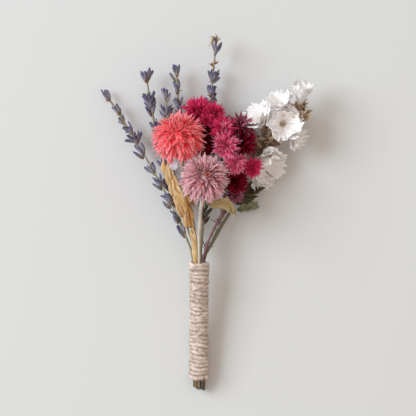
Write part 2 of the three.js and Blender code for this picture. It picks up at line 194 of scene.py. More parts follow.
@dataclass
class Shape:
    """A mesh being gathered, in metres, with the marks that its finish reads.

    Every point carries along (0 at a blade's base, 1 at its tip), across (-1 to 1 over its
    width) and tone (a number from 0 to 1 that is the same all over one blade).
    """

    points: list[Array] = field(default_factory=list)
    faces: list[Face] = field(default_factory=list)
    marks: list[Array] = field(default_factory=list)
    count: int = 0

    def put(self, points: Array, faces: Sequence[Face], marks: Array) -> None:
        """Adds points and faces.

        Args:
            points: the new points.
            faces: the new faces, which count from the first of the new points.
            marks: along, across and tone of each new point.
        """
        self.points.append(points)
        self.marks.append(marks)
        self.faces.extend(tuple(i + self.count for i in f) for f in faces)
        self.count += len(points)

    def sheet(self, grid: Array, thick: float, tone: float) -> None:
        """Adds a thin closed sheet that tapers to nothing at its rim.

        Args:
            grid: rows from base to tip, columns across, three numbers each.
            thick: its thickness in the middle.
            tone: its tone mark.
        """
        rows, cols = grid.shape[:2]
        normal = unit(np.cross(np.gradient(grid, axis=1), np.gradient(grid, axis=0)))
        inner = np.zeros((rows, cols), bool)
        inner[1:-1, 1:-1] = True
        lift = normal * (thick / 2) * inner[..., None]
        front = np.arange(rows * cols).reshape(rows, cols)
        back = front.copy()
        back[inner] = rows * cols + np.arange(int(inner.sum()))
        faces = []
        for r in range(rows - 1):
            for c in range(cols - 1):
                faces.append((front[r, c], front[r, c + 1], front[r + 1, c + 1], front[r + 1, c]))
                faces.append((back[r, c], back[r + 1, c], back[r + 1, c + 1], back[r, c + 1]))
        along, across = np.meshgrid(np.linspace(0, 1, rows), np.linspace(-1, 1, cols), indexing="ij")
        marks = np.stack([along, across, np.full_like(along, tone)], axis=2)
        points = np.vstack([(grid + lift).reshape(-1, 3), (grid - lift)[inner]])
        self.put(points, faces, np.vstack([marks.reshape(-1, 3), marks[inner]]))

    def tube(self, path: Array, radii: Array, sides: int, tone: float, hint: Array,
             outline: Callable[[Array, float], Array] | None = None, twist: float = 0.0) -> None:
        """Adds a closed tube along a path.

        Args:
            path: its centre line.
            radii: its radius at each point of the path.
            sides: how many sides it has.
            tone: its tone mark.
            hint: where its first side faces.
            outline: given the angles and the share of the length, returns radius factors.
            twist: how far the section turns from end to end, in radians.
        """
        _, side, over = carried_frames(path, hint)
        steps = len(path)
        angle = np.linspace(0, 2 * math.pi, sides, endpoint=False)
        share = np.linspace(0, 1, steps)
        rings = []
        for k in range(steps):
            a = angle + twist * share[k]
            r = radii[k] * (outline(angle, share[k]) if outline else np.ones(sides))
            rings.append(path[k] + (np.cos(a) * r)[:, None] * side[k]
                         + (np.sin(a) * r)[:, None] * over[k])
        points = np.vstack(rings + [path[:1], path[-1:]])
        faces: list[Face] = []
        first, last = steps * sides, steps * sides + 1
        for j in range(sides):
            n = (j + 1) % sides
            faces.extend((k * sides + j, k * sides + n, (k + 1) * sides + n, (k + 1) * sides + j)
                         for k in range(steps - 1))
            faces.append((first, n, j))
            faces.append((last, (steps - 1) * sides + j, (steps - 1) * sides + n))
        around = np.tile(angle / math.pi - 1, steps)
        marks = np.stack([np.repeat(share, sides), around, np.full(steps * sides, tone)], axis=1)
        ends = np.array([[0, 0, tone], [1, 0, tone]])
        self.put(points, faces, np.vstack([marks, ends]))

    def rest_on(self, height: float) -> None:
        """Presses whatever would sink through the table flat against it."""
        for points in self.points:
            keep_above(points, height)

    def build(self, name: str) -> bpy.types.Object:
        """Makes the Blender object.

        Args:
            name: the object's name.

        Returns:
            The object, smooth shaded, its marks stored on its points.
        """
        mesh = bpy.data.meshes.new(name)
        mesh.from_pydata(np.vstack(self.points).tolist(), [], self.faces)
        marks = np.vstack(self.marks)
        for k, mark in enumerate(MARKS):
            layer = mesh.attributes.new(mark, "FLOAT", "POINT")
            layer.data.foreach_set("value", marks[:, k].astype(np.float32))
        mesh.polygons.foreach_set("use_smooth", [True] * len(mesh.polygons))
        mesh.validate()
        thing = bpy.data.objects.new(name, mesh)
        bpy.context.scene.collection.objects.link(thing)
        return thing


@dataclass
class Blade:
    """A petal, bract or leaf: a narrow sheet with a keel that tapers to a point.

    Sizes are in metres. keel is how deep the middle lies below the edges, curl how far the tip
    bends towards the blade's upper side, as a share of its length, and waist the width at the
    base as a share of the widest. belly is where it is widest, as a share of its length, and a
    larger point draws its end out finer. rows and cols are the points that it is made of.
    """

    length: float
    width: float
    keel: float = 0.0
    curl: float = 0.0
    waist: float = 0.4
    belly: float = 0.5
    point: float = 1.5
    thick: float = 0.06 * MM
    rows: int = 8
    cols: int = 5

    def grid(self, base: Array, direction: Array, upper: Array) -> Array:
        """Lays the blade out.

        Args:
            base: where it starts.
            direction: where it heads at its base.
            upper: the side that it curls towards.

        Returns:
            Its points, rows from base to tip and columns across.
        """
        out = square_to(direction, upper)
        across = np.cross(direction, out)
        t = np.linspace(0, 1, self.rows)
        s = np.linspace(-1, 1, self.cols)
        rise = np.where(t < self.belly, self.waist + (1 - self.waist) * np.sin(
            0.5 * math.pi * t / self.belly), 1.0)
        fall = np.clip((t - self.belly) / (1 - self.belly), 0, 1)
        half = 0.5 * self.width * rise * (np.maximum(1 - fall ** (1.6 / self.point), 0.02))
        bend = self.curl * t**2
        spine = base + np.outer(t * (1 - 0.35 * bend * bend), direction) * self.length
        spine = spine + np.outer(bend, out) * self.length
        edge = np.abs(s) ** 1.4 * self.keel
        lift = np.outer(half / (0.5 * self.width), edge)
        return (spine[:, None, :] + half[:, None, None] * s[None, :, None] * across
                + lift[..., None] * out)


# ---- what the frame tells ----------------------------------------------------------------------


@dataclass
class CadPiece:
    """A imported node, read for the place and run of the piece that it stands for.

    Corners closer together than grain are one corner.
    """

    node: str
    grain: float = 0.002 * MM
    corners: Array = field(init=False)
    edges: Array = field(init=False)
    centre: Array = field(init=False)
    size: Array = field(init=False)

    def __post_init__(self) -> None:
        """Reads the node's corners, edges and box."""
        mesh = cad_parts[self.node].data
        raw = np.zeros(len(mesh.vertices) * 3)
        mesh.vertices.foreach_get("co", raw)
        raw = raw.reshape(-1, 3)
        grains = np.round(raw / self.grain).astype(np.int64)
        keys, index = np.unique(grains, axis=0, return_inverse=True)
        self.corners = keys * self.grain
        edges = np.zeros(len(mesh.edges) * 2, np.int64)
        mesh.edges.foreach_get("vertices", edges)
        edges = np.sort(index.reshape(-1)[edges].reshape(-1, 2), axis=1)
        self.edges = np.unique(edges[edges[:, 0] != edges[:, 1]], axis=0)
        low, high = (np.array(c, float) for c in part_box(self.node))
        self.centre = (low + high) / 2
        self.size = high - low

    def cut(self, direction: Array, level: float) -> Array:
        """Cuts the node with a plane.

        Args:
            direction: the plane's normal, a unit vector.
            level: the plane's distance from the origin along it.

        Returns:
            Where the node's edges cross the plane.
        """
        height = self.corners @ direction - level
        a, b = self.edges[:, 0], self.edges[:, 1]
        hit = (height[a] > 0) != (height[b] > 0)
        a, b = a[hit], b[hit]
        share = (height[a] / (height[a] - height[b]))[:, None]
        return self.corners[a] + share * (self.corners[b] - self.corners[a])

    def spine(self, step: float = 2.2 * MM, widest: float = 1.25 * MM) -> tuple[Array, Array]:
        """Follows the bare stem of the node from its cut end to its tip.

        Args:
            step: the distance between the cuts.
            widest: a cut that spreads further is not bare stem, and is passed over.

        Returns:
            The middle of each bare cut, and its radius.
        """
        low, high = self.corners[:, 1].min(), self.corners[:, 1].max()
        middles, radii = [], []
        for level in np.arange(low + 0.3 * MM, high - 0.2 * MM, step):
            ring = self.cut(vec(0, 1, 0), level)
            if len(ring) < 3:
                continue
            middle = ring.mean(axis=0)
            reach = np.linalg.norm(ring - middle, axis=1).max()
            if reach < widest:
                middles.append(middle)
                radii.append(reach)
        return np.array(middles), np.array(radii)

    def tips(self, sharp: float = 0.8) -> list[tuple[Array, Array]]:
        """Finds the pointed ends of the node's buds.

        Args:
            sharp: how closely a tip's edges must lie together, up to 1.

        Returns:
            Each tip with the direction that it points in.
        """
        found = []
        pull = np.zeros_like(self.corners)
        number = np.zeros(len(self.corners))
        for a, b in ((0, 1), (1, 0)):
            way = unit(self.corners[self.edges[:, b]] - self.corners[self.edges[:, a]])
            np.add.at(pull, self.edges[:, a], way)
            np.add.at(number, self.edges[:, a], 1)
        mean = pull / np.maximum(number, 1)[:, None]
        strength = np.linalg.norm(mean, axis=1)
        for i in np.nonzero((strength > sharp) & (number >= 4))[0]:
            found.append((self.corners[i], -mean[i] / strength[i]))
        return found

    def nearest_corner(self, point: Array) -> Array:
        """Returns the node's corner nearest to a point."""
        return self.corners[np.argmin(np.linalg.norm(self.corners - point, axis=1))]

    def strip(self, count: int) -> tuple[Array, Array, Array]:
        """Reads a leaf's left edge, midrib and right edge.

        Args:
            count: how many cuts to take along it.

        Returns:
            Three arrays of count points.
        """
        middle = self.corners.mean(axis=0)
        _, _, axes = np.linalg.svd(self.corners - middle)
        run = axes[0] * (1 if axes[0][1] + 0.5 * axes[0][0] > 0 else -1)
        heights = self.corners @ run
        low, high = heights.min(), heights.max()
        lefts, mids, rights = [], [], []
        across = square_to(run, np.cross(run, vec(0, 0, 1)))
        for share in np.linspace(0.02, 0.98, count):
            ring = self.cut(run, low + share * (high - low))
            reach = (ring - ring.mean(axis=0)) @ across
            left, right = ring[np.argmin(reach)], ring[np.argmax(reach)]
            inner = ring[np.abs(reach) < 0.45 * max(reach.max(), 1e-9)]
            lefts.append(left)
            rights.append(right)
            mids.append(inner.mean(axis=0) if len(inner) else (left + right) / 2)
        return np.array(lefts), np.array(mids), np.array(rights)


# ---- finishes ----------------------------------------------------------------------------------


class Wire:
    """A socket of a material's node tree that takes part in sums."""

    def __init__(self, tree: "Tree", socket: bpy.types.NodeSocket) -> None:
        """Wraps a socket of a tree."""
        self.tree = tree
        self.socket = socket

    def _sum(self, operation: str, first: Value, second: Value) -> "Wire":
        """Returns the result of one Math node."""
        return self.tree.node("ShaderNodeMath", {"operation": operation}, {0: first, 1: second})

    def __add__(self, other: Value) -> "Wire":
        """Returns self + other."""
        return self._sum("ADD", self, other)

    __radd__ = __add__

    def __sub__(self, other: Value) -> "Wire":
        """Returns self - other."""
        return self._sum("SUBTRACT", self, other)

    def __rsub__(self, other: Value) -> "Wire":
        """Returns other - self."""
        return self._sum("SUBTRACT", other, self)

    def __mul__(self, other: Value) -> "Wire":
        """Returns self * other."""
        return self._sum("MULTIPLY", self, other)

    __rmul__ = __mul__

    def __truediv__(self, other: Value) -> "Wire":
        """Returns self / other."""
        return self._sum("DIVIDE", self, other)

    def __pow__(self, other: Value) -> "Wire":
        """Returns self to the power of other."""
        return self._sum("POWER", self, other)

    def __abs__(self) -> "Wire":
        """Returns self without its sign."""
        return self._sum("ABSOLUTE", self, 0)

    def clamped(self) -> "Wire":
        """Returns self held between 0 and 1."""
        return self.tree.node("ShaderNodeClamp", {}, {"Value": self})


class Tree:
    """The node tree of one material."""

    def __init__(self, name: str) -> None:
        """Makes a material with a Principled shader and nothing else.

        Args:
            name: the material's name.
        """
        self.material = bpy.data.materials.new(name)
        self.material.use_nodes = True
        self.nodes = self.material.node_tree.nodes
        self.shader = next(n for n in self.nodes if n.type == "BSDF_PRINCIPLED")

    def node(self, kind: str, settings: Mapping[str, Any], sockets: Mapping[int | str, Value],
             output: int | str = 0) -> Wire:
        """Adds a node.

        Args:
            kind: the node's type.
            settings: its properties, set first; "stops" are a ramp's positions and colours.
            sockets: its inputs by name or number, each a value or a Wire.
            output: the output to return.

        Returns:
            The output, wrapped.
        """
        made = self.nodes.new(kind)
        for name, value in settings.items():
            if name == "stops":
                self._stops(made.color_ramp, value)
            else:
                setattr(made, name, value)
        for name, value in sockets.items():
            self.feed(made.inputs[name], value)
        return Wire(self, made.outputs[output])

    @staticmethod
    def _stops(ramp: bpy.types.ColorRamp, stops: Sequence[tuple[float, Colour]]) -> None:
        """Gives a ramp its stops.

        Args:
            ramp: the ramp.
            stops: the place, from 0 to 1, and the colour of each stop.
        """
        while len(ramp.elements) < len(stops):
            ramp.elements.new(0.5)
        for element, (place, colour) in zip(ramp.elements, stops):
            element.position = place
            element.color = (*colour, 1)

    def feed(self, socket: bpy.types.NodeSocket, value: Value) -> None:
        """Links a Wire to a socket, or sets the socket to a value.

        Args:
            socket: the socket.
            value: what it gets.
        """
        if isinstance(value, Wire):
            self.material.node_tree.links.new(value.socket, socket)
        elif isinstance(value, tuple) and socket.type == "RGBA":
            socket.default_value = (*value, 1)
        else:
            socket.default_value = value

    def mark(self, name: str) -> Wire:
        """Returns one of the marks that a Shape stores on its points."""
        return self.node("ShaderNodeAttribute", {"attribute_name": name}, {}, "Fac")

    def place(self) -> Wire:
        """Returns the place of the surface in the object's own space."""
        return self.node("ShaderNodeTexCoord", {}, {}, "Object")

    def vector(self, x: Value, y: Value, z: Value) -> Wire:
        """Returns a vector of three numbers or wires."""
        return self.node("ShaderNodeCombineXYZ", {}, {0: x, 1: y, 2: z})

    def noise(self, at: Wire, scale: float, detail: float = 3.0, rough: float = 0.55) -> Wire:
        """Returns a noise from 0 to 1 at a place."""
        return self.node("ShaderNodeTexNoise", {}, {
            "Vector": at, "Scale": scale, "Detail": detail, "Roughness": rough})

    def ramp(self, factor: Wire, stops: Sequence[tuple[float, Colour]]) -> Wire:
        """Returns the colour of a ramp at a factor."""
        return self.node("ShaderNodeValToRGB", {"stops": stops}, {"Fac": factor}, "Color")

    def mix(self, factor: Value, first: Value, second: Value, blend: str = "MIX") -> Wire:
        """Returns a mix of two colours."""
        return self.node("ShaderNodeMix", {"data_type": "RGBA", "blend_type": blend}, {
            0: factor, 6: first, 7: second}, 2)

    def bump(self, height: Wire, distance: float, strength: float = 1.0) -> Wire:
        """Returns a normal bent by a height."""
        return self.node("ShaderNodeBump", {}, {
            "Height": height, "Distance": distance, "Strength": strength}, "Normal")


@dataclass(frozen=True)
class BladeFinish:
    """The finish of petals, bracts, husks and leaves.

    stops colour a blade from base to tip. rim tints its edges, by rim_share and the more narrowly
    the higher rim_power is, and is also the colour of the painted highlight along its fine lines;
    dark is the colour of the painted shade along them. streaks is how many fine lines run along it
    and streak_share how strongly their painted shade and highlight show. tone_share is how much
    blades differ from one another in lightness, and blotch_share how much one blade does from
    place to place.
    soft is how much light spreads inside it, over soft_reach, glow the strength of a painted glow,
    its own colour given off as light, that stands in for the light coming through a thin petal,
    sheen and gloss its two kinds of shine, and relief how deep its fine lines are.
    """

    name: str
    slot: str
    stops: tuple[tuple[float, Colour], ...]
    rim: Colour
    rim_share: float = 0.5
    rim_power: float = 2.5
    dark: Colour = (0.1, 0.05, 0.04)
    tone_share: float = 0.3
    streaks: float = 5.0
    streak_share: float = 0.3
    blotch_share: float = 0.2
    rough: float = 0.6
    soft: float = 0.12
    sheen: float = 0.15
    gloss: float = 0.35
    glow: float = 0.0
    relief: float = 0.05 * MM
    blotch_scale: float = 420.0
    soft_reach: float = 0.6 * MM

    def material(self) -> bpy.types.Material:
        """Builds the material.

        Returns:
            The material, which reads the marks of a Shape.
        """
        tree = Tree(self.name)
        along, across, tone = (tree.mark(name) for name in MARKS)
        colour = tree.ramp(along, self.stops)
        edge = abs(across) ** self.rim_power * self.rim_share
        colour = tree.mix(edge, colour, self.rim)
        own = tree.vector(across * self.streaks, along * 1.5, tone * 37)
        lines = tree.noise(own, 1.0, 2.0)
        blotch = tree.noise(tree.place(), self.blotch_scale)
        # painted shade: along one half of the fine lines the colour darkens toward dark
        shade = ((lines - 0.5) * 2 * self.streak_share).clamped()
        colour = tree.mix(shade, colour, self.dark)
        # painted highlight: along the other half of the fine lines it lightens toward the rim colour
        light = ((0.5 - lines) * 1.6 * self.streak_share).clamped()
        colour = tree.mix(light, colour, self.rim)
        gain = 1 - self.tone_share / 2 + tone * self.tone_share
        gain = gain * (1 - self.blotch_share / 2 + blotch * self.blotch_share)
        grey = tree.node("ShaderNodeCombineColor", {}, {0: gain, 1: gain, 2: gain})
        colour = tree.mix(1.0, colour, grey, "MULTIPLY")
        shader = tree.shader.inputs
        tree.feed(shader["Base Color"], colour)
        tree.feed(shader["Roughness"], self.rough - 0.1 + lines * 0.2)
        tree.feed(shader["Normal"], tree.bump(lines + blotch * 0.4, self.relief))
        shader["Subsurface Weight"].default_value = self.soft
        shader["Subsurface Radius"].default_value = (1.0, 0.6, 0.5)
        shader["Subsurface Scale"].default_value = self.soft_reach
        # painted glow: the petal's colour is given off as light, standing in for light coming through
        # it
        if self.glow:
            tree.feed(shader["Emission Color"], colour)
            shader["Emission Strength"].default_value = self.glow
        shader["Sheen Weight"].default_value = self.sheen
        shader["Specular IOR Level"].default_value = self.gloss
        return tree.material


@dataclass(frozen=True)
class StemFinish:
    """The finish of a dry stem: two colours in long streaks, dark in patches.

    stretch is how much longer than wide the streaks are, and cut_end the colour of the cut ends
    that stand out below foot, where the wrap starts.
    """

    name: str
    slot: str
    main: Colour
    streak: Colour
    dark: Colour
    rough: float = 0.6
    stretch: float = 12.0
    streak_scale: float = 1900.0
    patch_scale: float = 130.0
    cut_end: Colour = srgb(110, 108, 74)
    foot: float = WRAP_FOOT

    def material(self) -> bpy.types.Material:
        """Builds the material.

        Returns:
            The material, streaked along the stem.
        """
        tree = Tree(self.name)
        place = tree.place()
        long = tree.node("ShaderNodeMapping", {}, {
            "Vector": place, "Scale": (1.0, 1.0 / self.stretch, 1.0)})
        fine = tree.noise(long, self.streak_scale)
        wide = tree.noise(place, self.patch_scale)
        colour = tree.mix(((fine - 0.4) * 2.2).clamped(), self.main, self.streak)
        colour = tree.mix(((wide - 0.52) * 3.5).clamped() * 0.7, colour, self.dark)
        up = tree.node("ShaderNodeSeparateXYZ", {}, {0: place}, "Y")
        cut = ((self.foot - up) / (1.5 * MM)).clamped() * 0.85
        pith = tree.mix((fine * 1.6 - 0.3).clamped(), self.cut_end, self.dark)
        colour = tree.mix(cut, colour, pith)
        shader = tree.shader.inputs
        tree.feed(shader["Base Color"], colour)
        tree.feed(shader["Roughness"], self.rough - 0.1 + fine * 0.25)
        tree.feed(shader["Normal"], tree.bump(fine, 0.12 * MM))
        shader["Specular IOR Level"].default_value = 0.4
        return tree.material


@dataclass(frozen=True)
class TwineFinish:
    """The finish of jute: dry pale fibres along each ply, painted shade between turns, dark here and
    there.
    """

    name: str
    slot: str
    pale: Colour
    main: Colour
    dark: Colour

    def material(self) -> bpy.types.Material:
        """Builds the material.

        Returns:
            The material, whose fibres run along the plies.
        """
        tree = Tree(self.name)
        along, across, tone = (tree.mark(name) for name in MARKS)
        fibre = tree.noise(tree.vector(across * 4, along * 620, tone * 50), 1.0, 4.0, 0.7)
        wide = tree.noise(tree.place(), 260.0, 4.0)
        colour = tree.mix(((fibre - 0.35) * 2.4).clamped(), self.pale, self.main)
        colour = tree.mix(((wide - 0.5) * 3.0).clamped() * 0.5, colour, self.dark)
        # painted shade: tone above 0.72 darkens the bed under the turns, as shade between them; it also
        # darkens some loose fibres at random
        colour = tree.mix(((tone - 0.72) * 5.0).clamped() * 0.9, colour, self.dark)
        shader = tree.shader.inputs
        tree.feed(shader["Base Color"], colour)
        tree.feed(shader["Roughness"], 0.75 + fibre * 0.2)
        tree.feed(shader["Normal"], tree.bump(fibre, 0.18 * MM))
        shader["Sheen Weight"].default_value = 0.35
        shader["Specular IOR Level"].default_value = 0.2
        return tree.material


@dataclass(frozen=True)
class FloorFinish:
    """The pale table that the posy lies on."""

    name: str
    colour: Colour

    def material(self) -> bpy.types.Material:
        """Builds the material.

        Returns:
            The material, almost even, with a very fine tooth.
        """
        tree = Tree(self.name)
        tooth = tree.noise(tree.place(), 900.0, 2.0)
        shader = tree.shader.inputs
        shader["Base Color"].default_value = (*self.colour, 1)
        tree.feed(shader["Roughness"], 0.85 + tooth * 0.1)
        shader["Specular IOR Level"].default_value = 0.15
        return tree.material


Finish = BladeFinish | StemFinish | TwineFinish


class Finishes:
    """Every finish of the posy, each made once."""

    CORAL = BladeFinish(
        "coral_bract", "coral_bracts",
        ((0.0, srgb(240, 14, 28)), (0.35, srgb(255, 56, 70)), (0.75, srgb(255, 116, 124)),
         (1.0, srgb(255, 196, 198))),
        rim=srgb(255, 190, 194), rim_share=0.45, dark=srgb(240, 30, 46), streak_share=0.5,
        tone_share=0.12, blotch_share=0.1, soft=0.0, rough=0.5, sheen=0.0, gloss=0.25,
        glow=0.05)
    PINK = BladeFinish(
        "dusty_bract", "pink_bracts",
        ((0.0, srgb(104, 22, 34)), (0.35, srgb(184, 78, 96)), (0.7, srgb(234, 150, 164)),
         (1.0, srgb(255, 224, 226))),
        rim=srgb(255, 232, 234), rim_share=0.75, dark=srgb(126, 40, 52), streak_share=0.5,
        tone_share=0.4, soft=0.0, rough=0.5, sheen=0.0)
    PINK_SKIRT = BladeFinish(
        "dusty_skirt", "pink_bracts",
        ((0.0, srgb(196, 124, 142)), (0.5, srgb(226, 150, 170)), (1.0, srgb(240, 184, 194))),
        rim=srgb(246, 206, 212), rim_share=0.4, dark=srgb(170, 80, 100), soft=0.25, sheen=0.0)
    PINK_FLECK = BladeFinish(
        "orange_fleck", "pink_bracts",
        ((0.0, srgb(150, 64, 44)), (1.0, srgb(206, 104, 80))), rim=srgb(214, 128, 104), rim_share=0.2)
    CRIMSON = BladeFinish(
        "crimson_petal", "crimson_petals",
        ((0.0, srgb(96, 0, 20)), (0.4, srgb(166, 4, 50)), (0.72, srgb(206, 24, 82)),
         (1.0, srgb(224, 70, 120))),
        rim=srgb(236, 110, 152), rim_share=0.25, dark=srgb(84, 0, 18), streak_share=0.7,
        tone_share=0.5, soft=0.0, sheen=0.0, gloss=0.12, glow=0.1)
    CRIMSON_PALE = replace(
        CRIMSON, name="pale_tipped_petal",
        stops=((0.0, srgb(140, 0, 40)), (0.4, srgb(196, 18, 76)), (0.72, srgb(222, 62, 118)),
               (1.0, srgb(244, 178, 200))),
        rim=srgb(248, 184, 208), rim_share=0.3, dark=srgb(110, 0, 30))
    CRIMSON_DUSTY = BladeFinish(
        "dusty_crimson_petal", "crimson_petals",
        ((0.0, srgb(80, 6, 24)), (0.4, srgb(136, 20, 54)), (0.72, srgb(164, 60, 92)),
         (1.0, srgb(196, 150, 164))),
        rim=srgb(196, 140, 158), rim_share=0.35, dark=srgb(76, 2, 22), tone_share=0.5, sheen=0.0,
        gloss=0.15)
    CRIMSON_DARK = BladeFinish(
        "dark_petal", "crimson_petals",
        ((0.0, srgb(48, 0, 4)), (0.5, srgb(118, 2, 24)), (1.0, srgb(160, 16, 50))),
        rim=srgb(176, 24, 66), rim_share=0.2, dark=srgb(48, 0, 6), tone_share=0.5, sheen=0.0,
        gloss=0.1)
    MAUVE = BladeFinish(
        "mauve_petal", "crimson_petals",
        ((0.0, srgb(104, 24, 48)), (0.5, srgb(156, 62, 96)), (1.0, srgb(196, 128, 156))),
        rim=srgb(204, 148, 170), rim_share=0.35, dark=srgb(90, 20, 44), sheen=0.0)
    HEART = BladeFinish(
        "rust_heart", "crimson_petals",
        ((0.0, srgb(64, 8, 4)), (1.0, srgb(122, 36, 14))), rim=srgb(140, 50, 26), rim_share=0.2)
    WHITE = BladeFinish(
        "papery_white", "white_petals",
        ((0.0, srgb(216, 196, 176)), (0.3, srgb(244, 238, 234)), (1.0, srgb(255, 251, 251))),
        rim=srgb(255, 252, 252), rim_share=0.2, dark=srgb(206, 192, 182), streaks=18.0,
        streak_share=0.3, tone_share=0.08, blotch_share=0.08, soft=0.12, rough=0.5, sheen=0.1,
        glow=0.02, relief=0.15 * MM)
    LILAC = BladeFinish(
        "papery_lilac", "lilac_petals",
        ((0.0, srgb(214, 208, 220)), (1.0, srgb(236, 232, 240))),
        rim=srgb(240, 238, 244), dark=srgb(186, 176, 190), soft=0.3)
    STRAW = BladeFinish(
        "straw_gold", "straw_husk",
        ((0.0, srgb(210, 160, 92)), (0.5, srgb(232, 184, 116)), (1.0, srgb(240, 206, 160))),
        rim=srgb(254, 232, 200), rim_share=0.45, dark=srgb(120, 66, 24), streaks=7.0,
        streak_share=1.0, tone_share=0.4, soft=0.15, rough=0.42, relief=0.35 * MM)
    BROWN_HUSK = BladeFinish(
        "brown_husk", "straw_husk",
        ((0.0, srgb(206, 156, 88)), (0.5, srgb(170, 112, 52)), (1.0, srgb(132, 88, 46))),
        rim=srgb(200, 158, 100), rim_share=0.3, dark=srgb(92, 54, 20), streaks=7.0,
        streak_share=0.8, rough=0.5, relief=0.25 * MM)
    CREAM = BladeFinish(
        "cream_leaf", "cream_leaf",
        ((0.0, srgb(156, 118, 76)), (0.3, srgb(200, 172, 116)), (1.0, srgb(230, 212, 156))),
        rim=srgb(240, 228, 184), rim_share=0.4, dark=srgb(140, 116, 62), streaks=5.0,
        streak_share=0.7, soft=0.2, relief=0.25 * MM)
    GREEN = BladeFinish(
        "olive_leaf", "green_leaf",
        ((0.0, srgb(62, 50, 30)), (0.5, srgb(88, 78, 44)), (1.0, srgb(98, 96, 54))),
        rim=srgb(132, 124, 88), rim_share=0.35, dark=srgb(34, 24, 16), streaks=5.0,
        streak_share=0.8, relief=0.3 * MM)
    SAGE = BladeFinish(
        "sage_leaf", "green_leaf",
        ((0.0, srgb(118, 122, 88)), (1.0, srgb(150, 156, 124))),
        rim=srgb(172, 174, 150), rim_share=0.35, dark=srgb(92, 94, 62), streaks=5.0,
        streak_share=0.6, relief=0.3 * MM)
    # rim_share is 0 for these calyces (grey_calyx keeps it): rim only colours the painted highlight
    # along their ribs, and dark the painted shade
    CALYX = BladeFinish(
        "lavender_calyx", "lavender",
        ((0.0, srgb(120, 90, 62)), (0.22, srgb(134, 118, 110)), (0.45, srgb(142, 136, 148)),
         (0.8, srgb(112, 108, 142)), (1.0, srgb(64, 60, 98))),
        rim=srgb(214, 212, 226), rim_share=0.0, dark=srgb(44, 36, 52), streaks=6.0,
        streak_share=0.9, tone_share=0.7, blotch_share=0.6, rough=0.75, sheen=0.4, soft=0.1,
        relief=0.2 * MM)
    CALYX_GREY = replace(
        CALYX, name="grey_calyx",
        stops=((0.0, srgb(130, 108, 68)), (0.4, srgb(134, 128, 124)), (0.8, srgb(112, 114, 150)),
               (1.0, srgb(70, 68, 116))),
        rim=srgb(200, 200, 212), dark=srgb(56, 44, 46), tone_share=0.6, blotch_share=0.5)
    # rim_share is 0 here too: rim only colours the painted highlight along the ribs, and dark the
    # painted shade
    CALYX_DARK = BladeFinish(
        "dark_calyx", "lavender",
        ((0.0, srgb(92, 76, 50)), (0.5, srgb(84, 78, 76)), (1.0, srgb(56, 52, 64))),
        rim=srgb(150, 144, 142), rim_share=0.0, dark=srgb(34, 28, 30), streaks=6.0,
        streak_share=0.8, tone_share=0.5, blotch_share=0.5, rough=0.75, relief=0.2 * MM)
    COROLLA = BladeFinish(
        "withered_bloom", "lavender",
        ((0.0, srgb(96, 88, 150)), (1.0, srgb(70, 62, 118))), rim=srgb(130, 122, 178), rim_share=0.2,
        dark=srgb(46, 40, 76), blotch_share=0.5)
    RUST = BladeFinish(
        "rust_bract", "lavender",
        ((0.0, srgb(130, 84, 52)), (1.0, srgb(176, 128, 92))), rim=srgb(196, 156, 122), rim_share=0.3,
        dark=srgb(92, 56, 34))
    STRAW_BRACT = BladeFinish(
        "straw_bract", "lavender",
        ((0.0, srgb(170, 130, 84)), (1.0, srgb(214, 196, 150))), rim=srgb(226, 212, 176), rim_share=0.3,
        dark=srgb(140, 100, 60))
    DRY_CALYX = BladeFinish(
        "dry_calyx", "green_stem",
        ((0.0, srgb(96, 62, 36)), (0.5, srgb(166, 126, 92)), (1.0, srgb(232, 208, 180))),
        rim=srgb(230, 212, 186), rim_share=0.25, dark=srgb(62, 38, 20), streaks=6.0,
        streak_share=0.9, tone_share=0.7, relief=0.2 * MM)
    PALE_STEM = StemFinish(
        "pale_stem", "pale_stem", srgb(214, 204, 188), srgb(170, 156, 140), srgb(122, 104, 86))
    MAUVE_STEM = StemFinish(
        "mauve_stem", "mauve_stem", srgb(138, 102, 108), srgb(76, 46, 48), srgb(42, 22, 20))
    GREEN_STEM = StemFinish(
        "green_stem", "green_stem", srgb(140, 134, 108), srgb(98, 92, 68), srgb(66, 54, 38))
    LAVENDER_STEM = StemFinish(
        "lavender_stem", "lavender", srgb(166, 160, 132), srgb(124, 114, 88), srgb(92, 74, 54))
    STRAW_STEM = StemFinish(
        "straw_stem", "straw_husk", srgb(226, 184, 118), srgb(180, 130, 66), srgb(120, 78, 36))
    TWINE = TwineFinish(
        "jute_twine", "twine", srgb(255, 244, 234), srgb(236, 198, 176), srgb(160, 110, 86))
    FLOOR = FloorFinish("pale_table", srgb(228, 228, 228))

    _made: dict[str, bpy.types.Material] = {}

    @classmethod
    def material(cls, finish: Finish | FloorFinish) -> bpy.types.Material:
        """Looks up a finish's material, and makes it the first time.

        Args:
            finish: the finish.

        Returns:
            Its material.
        """
        if finish.name not in cls._made:
            cls._made[finish.name] = finish.material()
        return cls._made[finish.name]


# ---- dressing pieces ---------------------------------------------------------------------------


